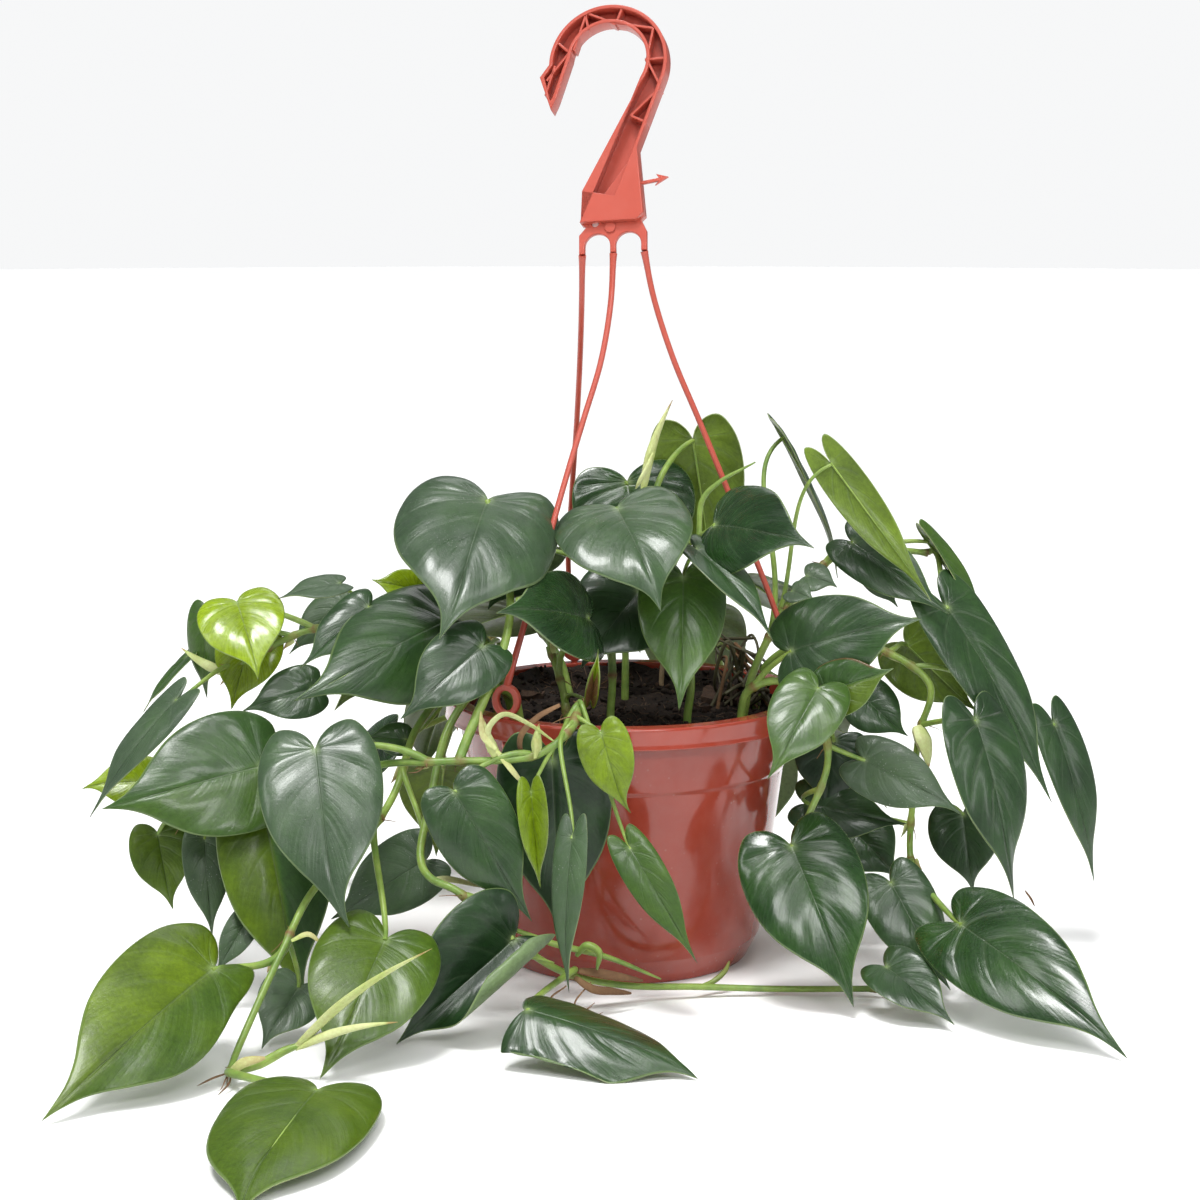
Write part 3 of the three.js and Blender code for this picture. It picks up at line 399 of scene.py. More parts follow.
def plantMaterial(name, low, high, scarColour, roughness):
    material, tree, shader = newMaterial(name, {"Specular IOR Level": 0.45})
    place = objectPlace(tree)
    broad = noiseAt(tree, place, 55.0, 3.0)
    fine = noiseAt(tree, place, 600.0, 4.0, 0.65)
    colour = blendColour(tree, spread(tree, broad, 0.35, 0.65), (*low, 1), (*high, 1))
    colour = blendColour(tree, spread(tree, fine, 0.35, 0.75, 0.0, 0.3), colour, (*scarColour, 1))
    scar = calc(tree, "MULTIPLY", mark(tree, "scar"), spread(tree, fine, 0.2, 0.5, 0.5, 1.1), True)
    colour = blendColour(tree, scar, colour, (*scarColour, 1))
    tree.links.new(colour, shader.inputs["Base Color"])
    rough = calc(tree, "ADD", roughness, calc(tree, "MULTIPLY", scar, 0.3), True)
    tree.links.new(rough, shader.inputs["Roughness"])
    addBump(tree, shader, calc(tree, "ADD", fine, calc(tree, "MULTIPLY", broad, 0.5)), 0.35, 0.0006)
    return material


def plasticMaterial(name, colour, worn, roughness, dustAmount, coat):
    fixed = {"Specular IOR Level": 0.5, "Coat Weight": coat, "Coat Roughness": 0.05}
    material, tree, shader = newMaterial(name, fixed)
    place = objectPlace(tree)
    film = useGroup(tree, dust, {"Vector": place, "Fineness": 260.0, "Amount": dustAmount})
    broad = noiseAt(tree, place, 14.0, 4.0)
    fine = noiseAt(tree, place, 900.0, 3.0, 0.6)
    tint = blendColour(tree, spread(tree, broad, 0.35, 0.65, 0.0, 0.6), (*colour, 1), (*worn, 1))
    tint = blendColour(tree, calc(tree, "MULTIPLY", film["Smudge"], 0.16), tint, (0.42, 0.25, 0.2, 1))
    tint = blendColour(tree, calc(tree, "MULTIPLY", film["Specks"], 0.6), tint, (0.5, 0.42, 0.36, 1))
    tree.links.new(tint, shader.inputs["Base Color"])
    rough = spread(tree, broad, 0.3, 0.7, roughness, roughness + 0.07)
    rough = calc(tree, "ADD", rough, calc(tree, "MULTIPLY", film["Smudge"], 0.22), True)
    tree.links.new(rough, shader.inputs["Roughness"])
    height = calc(tree, "ADD", calc(tree, "MULTIPLY", broad, 0.6), calc(tree, "MULTIPLY", fine, 0.05))
    addBump(tree, shader, height, 0.12, 0.002)
    return material


def peatMaterial(name, low, high, roughness):
    material, tree, shader = newMaterial(name, {"Specular IOR Level": 0.3})
    place = objectPlace(tree)
    grain = noiseAt(tree, place, 500.0, 6.0, 0.75)
    clod = noiseAt(tree, place, 90.0, 3.0)
    mixed = calc(tree, "ADD", calc(tree, "MULTIPLY", grain, 0.7), calc(tree, "MULTIPLY", clod, 0.4))
    colour = blendColour(tree, spread(tree, mixed, 0.4, 0.72), (*low, 1), (*high, 1))
    tree.links.new(colour, shader.inputs["Base Color"])
    tree.links.new(spread(tree, grain, 0.3, 0.7, roughness, 1.0), shader.inputs["Roughness"])
    addBump(tree, shader, grain, 0.8, 0.0012)
    return material


upperSide = leafMaterial("leafUpper", leafTones["upper"], 0.3, 0.4, 0.24, 0.8)
underSide = leafMaterial("leafUnder", leafTones["under"], 0.7, 0.55, 0.4, 0.7)
leafEdge = paleEdgeMaterial()
stemGreen = plantMaterial("stem", (0.12, 0.23, 0.04), (0.27, 0.4, 0.08), (0.17, 0.08, 0.03), 0.34)
oldStem = plantMaterial("oldStem", (0.025, 0.035, 0.014), (0.07, 0.085, 0.03), (0.06, 0.035, 0.02), 0.45)
sheathPale = plantMaterial("sheath", (0.42, 0.52, 0.15), (0.6, 0.66, 0.32), (0.3, 0.16, 0.06), 0.5)
rootBrown = plantMaterial("root", (0.16, 0.08, 0.035), (0.25, 0.14, 0.06), (0.06, 0.03, 0.015), 0.75)
potPlastic = plasticMaterial("potPlastic", (0.27, 0.034, 0.018), (0.32, 0.046, 0.026), 0.1, 0.3, 0.3)
hangerPlastic = plasticMaterial("hangerPlastic", (0.4, 0.06, 0.036), (0.46, 0.075, 0.048), 0.3, 0.2, 0.1)
peat = peatMaterial("peat", (0.003, 0.0022, 0.0016), (0.034, 0.021, 0.014), 0.8)
bark = peatMaterial("bark", (0.02, 0.011, 0.007), (0.08, 0.045, 0.027), 0.7)
fibre = peatMaterial("fibre", (0.045, 0.026, 0.015), (0.15, 0.095, 0.06), 0.7)
straw = peatMaterial("straw", (0.3, 0.2, 0.11), (0.48, 0.36, 0.22), 0.6)
print("materials ready:", len(bpy.data.materials))

# Pot: a stepped wall with a low bead at each step, a rim with a hanging skirt, and a foot with drain holes
potSizes = {
    "sides": 180,
    "height": 140,
    "wall": [
        (60, 0, 0), (65, 0, 1.2), (71, 12, 1.5), (71.8, 13.4, 0.6), (83.6, 103, 0.7), (85, 105, 0.8),
        (87.3, 129, 0.4), (87.8, 137.6, 0.3), (92.9, 137.6, 0.3), (93.3, 129, 0.5), (95.5, 129, 0.6),
        (95, 131.4, 0.8), (95, 139.2, 0.7), (94.2, 140, 0.7), (86.2, 140, 0.9), (85.6, 139.4, 0.8),
        (83, 105, 1), (81.6, 103, 1), (69.4, 13, 2), (63, 3, 3), (60, 3, 0),
    ],
    "footRadius": 60.4,
    "footThick": 3,
    "drainHoles": 6,
    "drainCircle": 48,
    "drainRadius": 4,
}


def makePot():
    bm = bmesh.new()
    addLathe(bm, roundedProfile(potSizes["wall"]), potSizes["sides"])
    foot = potSizes["footRadius"]
    drain = ellipsePoints(potSizes["drainRadius"], potSizes["drainRadius"], 28)
    outlines = [ellipsePoints(foot, foot, 120)]
    for i in range(potSizes["drainHoles"]):
        turn = 2 * math.pi * (i + 0.5) / potSizes["drainHoles"] - math.pi / 2
        x = potSizes["drainCircle"] * math.cos(turn)
        y = potSizes["drainCircle"] * math.sin(turn)
        outlines.append([(x + a, y + b) for a, b in drain])
    addPlate(bm, outlines, potSizes["footThick"], 0.3, potSizes["footThick"] / 2, Matrix())
    return newPiece("potBody", bm, [potPlastic], ["pot"])


# Soil: peat with crumbs, fibres and bark chips on an uneven top
soilSizes = {
    "level": 127,
    "mound": 5,
    "bank": 7,          # what lies heaped against the wall at the back
    "profile": [(0, 3.3), (62.6, 3.3), (69, 13.3), (81.2, 103.3), (82.6, 105.3), (83.8, 125.5)],
    "rings": 44,
    "sides": 150,
    "edge": 83.6,       # radius of the top, and how far out its crumbs and its fibres lie
    "crumbReach": 82,
    "fibreReach": 80,
    "crumbs": 1500,
    "fibres": 260,
    "chips": [
        (68, 20, 128, 17, 9, 3, 20), (58, 34, 127.5, 14, 7, 3, -35), (12, -58, 127.5, 9, 5, 2.4, 60),
        (-50, 32, 128, 12, 6, 3, 10), (-8, 58, 128, 11, 7, 3, 75), (40, 10, 128, 9, 4, 2, 130),
        (-24, 8, 128, 8, 5, 2, 40), (52, -34, 128, 7, 4, 2, 15), (53, 26, 130, 21, 15, 4, -20),
    ],
    "stick": (20, 62),
}


def soilHeight(x, y):
    clods = math.sin(x * 0.19 + 1.3) * math.cos(y * 0.23) + 0.6 * math.sin(x * 0.11 - y * 0.37)
    crumble = noise.fractal(Vector((x, y, 0)) * 0.16, 0.8, 2.1, 5)
    back = min(max((y + 10) / 70, 0), 1)
    bank = soilSizes["bank"] * min(max((math.hypot(x, y) - 66) / 14, 0), 1) * back
    rise = soilSizes["mound"] * back * back * (3 - 2 * back) + bank
    return soilSizes["level"] + rise + 1.1 * clods + 1.2 * crumble


def scatter(rng, reach):
    away = reach * math.sqrt(rng.random())
    turn = rng.uniform(0, 2 * math.pi)
    return away * math.cos(turn), away * math.sin(turn)


def paintFaces(verts, material):
    for face in {f for v in verts for f in v.link_faces}:
        face.material_index = material


def addCrumb(bm, rng, isBark):
    x, y = scatter(rng, soilSizes["crumbReach"])
    size = 0.5 + 2.2 * rng.random() ** 3
    spot = Matrix.Translation((x, y, soilHeight(x, y) + size * 0.3))
    tilt = Matrix.Rotation(rng.uniform(0, 6), 4, Vector((rng.random(), rng.random(), 1)).normalized())
    shape = Matrix.Diagonal((rng.uniform(0.7, 1.5), rng.uniform(0.6, 1.1), rng.uniform(0.4, 0.8), 1))
    made = bmesh.ops.create_icosphere(bm, subdivisions=1, radius=size, matrix=spot @ tilt @ shape)
    for vert in made["verts"]:
        vert.co += noise.noise_vector(vert.co * 0.9) * size * 0.35
    if isBark:
        paintFaces(made["verts"], 1)


def addFibre(bm, rng, index):
    start = Vector((*scatter(rng, soilSizes["fibreReach"]), 0))
    heading = rng.uniform(0, 2 * math.pi)
    length = rng.uniform(4, 16)
    bend = rng.uniform(-1.2, 1.2)
    limit = soilSizes["crumbReach"]
    path = []
    for k in range(7):
        a = heading + bend * k / 6
        start = start + Vector((math.cos(a), math.sin(a), 0)) * length / 6
        x, y = start.xy if start.xy.length < limit else start.xy * (limit / start.xy.length)
        path.append(Vector((x, y, soilHeight(x, y) + 0.3 + 0.9 * math.sin(k * 0.9 + index))))
    radius = rng.uniform(0.12, 0.32)
    addTube(bm, path, [radius * (1 - 0.08 * k) for k in range(7)], 5, 2)


# A crumpled chip of bark, from a finely cut block
def addChip(bm, x, y, z, long, wide, thick, turn):
    spot = Matrix.Translation((x, y, z + soilHeight(x, y) - soilSizes["level"] + 0.5))
    spot = spot @ Matrix.Rotation(math.radians(turn), 4, "Z")
    spot = spot @ Matrix.Rotation(0.25, 4, "X") @ Matrix.Diagonal((long, wide, thick, 1))
    first = len(bm.verts)
    made = bmesh.ops.create_cube(bm, size=1, matrix=spot)
    edges = list({e for v in made["verts"] for e in v.link_edges})
    bmesh.ops.subdivide_edges(bm, edges=edges, cuts=5, use_grid_fill=True)
    bm.verts.ensure_lookup_table()
    chip = bm.verts[first:]
    for vert in chip:
        vert.co += noise.noise_vector(vert.co * 0.16) * 2.2 + noise.noise_vector(vert.co * 0.7) * 0.5
    paintFaces(chip, 1)


def makeSoil():
    rng = random.Random(5)
    bm = bmesh.new()
    rings = soilSizes["rings"]
    top = [(soilSizes["edge"] * (rings - i) / rings, soilSizes["level"]) for i in range(1, rings + 1)]
    addLathe(bm, soilSizes["profile"] + top, soilSizes["sides"], closed=False)
    for vert in bm.verts:
        if vert.co.z > soilSizes["level"] - 1:
            vert.co.z = soilHeight(vert.co.x, vert.co.y)
    bmesh.ops.remove_doubles(bm, verts=bm.verts, dist=1e-4)
    for i in range(soilSizes["crumbs"]):
        addCrumb(bm, rng, i % 9 == 0)
    for i in range(soilSizes["fibres"]):
        addFibre(bm, rng, i)
    for chip in soilSizes["chips"]:
        addChip(bm, *chip)
    x, y = soilSizes["stick"]
    stick = [Vector((x, y, 122)), Vector((x + 0.5, y, 138)), Vector((x + 2.4, y + 1, 156))]
    addTube(bm, stick, [1.5, 1.4, 1.3], 10, 3)
    return newPiece("soilSurface", bm, [peat, bark, fibre, straw], ["soil"], sharp=60)


# Hanger: an open-webbed hook, its plate, and three strands that end in small rings on the rim
hangerSizes = {
    "plateFoot": (-7, 0, 377),
    "turn": 14,
    "lean": 20,
    "tilt": 4.8,
    "depth": 10,
    "web": 2.4,
    "archRadius": 31.5,
    "archCentre": (-1.6, 95.4),
    "mouthRadius": 20.5,
    "mouthCentre": (-1.6, 96.6),
    "rimWidth": 1.9,
    "truss": [
        [(-35, 80), (-30, 96)], [(-34.5, 88), (-22, 103)], [(-29, 109), (-21.5, 102)],
        [(-20, 103.5), (-13, 124)], [(-14, 124), (-12, 114)], [(-13.5, 124), (2.5, 116)],
        [(2.5, 116), (6.5, 126)], [(3, 116.5), (22.5, 112)], [(22.5, 112), (19, 95)],
        [(18, 95), (29.5, 95)], [(19, 95), (26, 80)], [(26, 79), (10.5, 65)], [(10.5, 65), (19, 60.5)],
    ],
    "pillars": {"back": -16, "frontLeft": 0.4, "right": 16.6},
    "pillarFoot": -7,
    "strandRadius": 1.5,
    "clipCircle": 90.4,
    "clipAngles": {"frontLeft": -42, "right": 78, "back": -162},
    "routes": {
        "frontLeft": [(-8, -8, 345), (-13, -19, 316), (-22, -32, 287), (-31, -45, 258), (-42, -58, 220)],
        "right": [(14, -6, 348), (24, -9, 317), (38, -12, 284), (57, -15, 238), (74, -17, 196)],
        "back": [(-23, 8, 344), (-24, 24, 315), (-26, 42, 278), (-29, 60, 236), (-31, 74, 196)],
    },
    "ringTurns": {"frontLeft": -18, "right": 78, "back": -162},
    "ringOuter": (7.4, 8.4),
    "ringInner": (4, 5.2),
    "ringDepth": 4,
    "ringHeight": 149,
}


def hookDirections():
    turn = math.radians(hangerSizes["turn"])
    lean = math.radians(hangerSizes["lean"])
    forward = Vector((-math.sin(turn) * math.cos(lean), -math.cos(turn) * math.cos(lean), math.sin(lean)))
    right = Vector((math.cos(turn), -math.sin(turn), 0))
    right = Matrix.Rotation(math.radians(hangerSizes["tilt"]), 3, forward) @ right
    return right, forward.cross(right), forward


def hookPlane():
    right, upward, forward = hookDirections()
    place = Matrix((right, upward, forward)).transposed().to_4x4()
    return Matrix.Translation(hangerSizes["plateFoot"]) @ place


def hookOutline(inset):
    outer = hangerSizes["archRadius"] - inset
    inner = hangerSizes["mouthRadius"] + inset
    points = [(2, 22), (-14.4, 26)] if inset else [(17, 12), (13.4, 8.6), (-16.4, 9)]
    points += arcPoints(hangerSizes["mouthCentre"], inner, -32, 172, 44)
    points += [(-29.4 - inset * 0.8, 77 + inset), (-32 - inset * 0.2, 71.5 + inset * 2.6)]
    points.append((-38 + inset * 1.2, 90))
    points += arcPoints(hangerSizes["archCentre"], outer, 178, -21, 48)
    points.append((13.8 - inset, 47.5))
    return points


def barOutline(start, end, wide):
    a = Vector(start)
    b = Vector(end)
    side = (b - a).normalized() * wide / 2
    side = Vector((-side.y, side.x))
    return [tuple(a + side), tuple(a - side), tuple(b - side), tuple(b + side)]


def makeHook():
    bm = bmesh.new()
    plane = hookPlane()
    back = -hangerSizes["depth"] / 2
    addPlate(bm, [hookOutline(1)], hangerSizes["web"], 0.1, back + hangerSizes["web"] / 2, plane)
    addPlate(bm, [hookOutline(0), hookOutline(hangerSizes["rimWidth"])], hangerSizes["depth"], 0.45, 0, plane)
    for start, end in hangerSizes["truss"]:
        addPlate(bm, [barOutline(start, end, 1.2)], 8.4, 0.25, back + 5.2, plane)
    plate = [(-16.4, 9), (13.8, 48), (17, 12), (15.4, 9), (18.2, 3), (18.2, -7), (15.2, -7)]
    plate += arcPoints((8.5, -3.4), 6.7, 0, 180, 18)
    plate += [(1.9, -7), (-1.1, -7)]
    plate += arcPoints((-7.8, -3.4), 6.7, 0, 180, 18)
    plate += [(-14.5, -7), (-17.5, -7), (-17.5, 3), (-14, 7)]
    slot = arcPoints((12, 29.4), 2.2, 0, 180, 10) + arcPoints((12.6, 16.2), 2.2, 180, 360, 10)
    eye = [(-9 + x, 9 + y) for x, y in ellipsePoints(1.9, 1.9, 24)]
    addPlate(bm, [plate, slot, eye], 3, 0.5, 0, plane)
    addPlate(bm, [barOutline((13, 29), (25, 30.5), 1.8)], 2, 0.4, 0, plane)
    addPlate(bm, [[(23, 33.5), (29.5, 31.5), (22.5, 27.5), (25, 30.3)]], 2, 0.3, 0, plane)
    button = [(-1 + x, 6.2 + y) for x, y in ellipsePoints(2.9, 2.9, 32)]
    addPlate(bm, [button], 1.8, 0.5, 1.7, plane)
    return newPiece("hangerHook", bm, [hangerPlastic], ["hook"], sharp=35)


def onRim(angle, z):
    a = math.radians(angle)
    radius = hangerSizes["clipCircle"]
    return Vector((radius * math.sin(a), -radius * math.cos(a), z))


def makeStrand(name):
    bm = bmesh.new()
    right, upward = hookDirections()[:2]
    angle = hangerSizes["clipAngles"][name]
    high = hangerSizes["ringHeight"]
    radius = hangerSizes["strandRadius"]
    top = Vector(hangerSizes["plateFoot"]) + right * hangerSizes["pillars"][name]
    top = top + upward * (hangerSizes["pillarFoot"] - 0.4)
    path = splinePath([top, *hangerSizes["routes"][name], onRim(angle, high + 7)], 4)
    last = len(path) - 1
    swell = [0.35 * math.exp(-i / 2) + 0.3 * math.exp(-(last - i) / 2.5) for i in range(last + 1)]
    addTube(bm, path, [radius * (1 + more) for more in swell], 16)
    turned = math.radians(hangerSizes["ringTurns"][name])
    place = Matrix.Translation(onRim(angle, high)) @ Matrix.Rotation(turned, 4, "Z")
    place = place @ Matrix.Rotation(math.radians(90), 4, "X")
    ring = [ellipsePoints(*hangerSizes["ringOuter"], 40), ellipsePoints(*hangerSizes["ringInner"], 40)]
    addPlate(bm, ring, hangerSizes["ringDepth"], 0.8, 0, place)
    addTube(bm, [onRim(angle, 127.5), onRim(angle, 134), onRim(angle, high - 6)], [1.7, 1.7, 1.9], 16)
    bead = [onRim(angle, z) for z in (123.5, 124.4, 125.5, 127, 128, 128.5)]
    addTube(bm, bead, [1.5, 2.3, 2.6, 2.6, 2.3, 1.7], 20)
    return newPiece("hangerStrand_" + name, bm, [hangerPlastic], ["strand_" + name])


# Leafy stems. Which way a blade's upper side looks
faces = {
    "up": (0, -0.4, 1), "front": (0, -1, 0.5), "frontUp": (0, -1, 1), "frontLeft": (-0.7, -1, 0.5),
    "frontRight": (0.7, -1, 0.5), "left": (-1, -0.3, 0.4), "steepLeft": (-1, -0.8, 0.3),
    "edgeRight": (1, 0.05, 0.4), "right": (1, -0.3, 0.4), "back": (0, 1, 0.6), "backLeft": (-0.8, 1, 0.5),
    "backRight": (0.8, 1, 0.5), "under": (0.2, 1, -0.3),
}
# Age from 0, dark and old, to 1, fresh; how much grey bloom lies on the blade, which gives real dust specks
# and smudges and also a grey tint that is painted sheen, most on the greyest looks; and its gloss
looks = {
    "deep": (0.0, 0.0, 0.3), "dark": (0.12, 0.16, 0.6), "dusty": (0.16, 0.7, 0.6), "glossy": (0.1, 0.0, 1.0),
    "mid": (0.38, 0.1, 0.5), "olive": (0.6, 0.0, 0.3), "ripe": (0.78, 0, 0.5), "fresh": (0.94, 0.0, 0.9),
    "grey": (0.2, 1.0, 0.2),
}


# full moves the widest place to the tip; hook bends the drip tip aside, in mm; sides age the two halves
# apart, which paints light on one half and shade on the other, partly a real difference in tone; via is a
# place that the petiole passes; shoulders narrow the lobes of the two sides; curl turns the two sides up
# beyond bend;
# spoil is a brown stretch of the midrib; burn is the side whose edge has dried
leafOptions = {
    "full": 0, "lobe": 1, "hook": None, "curl": (0, 0), "bend": 0.5, "ribs": 0.35, "sides": (0, 0),
    "spoil": None, "rise": 0.2, "burn": 0, "via": None, "shoulders": (1, 1),
}


# at: the petiole's place on the stem; base and tip: the ends of the midrib; half: half the blade's width
def leaf(at, base, tip, face, half, fold, droop, look, **more):
    data = {"at": at, "base": Vector(base), "tip": Vector(tip), "face": Vector(faces[face]), "half": half}
    data.update({"fold": math.radians(fold), "droop": math.radians(droop), "look": look})
    return {**data, **leafOptions, **more}


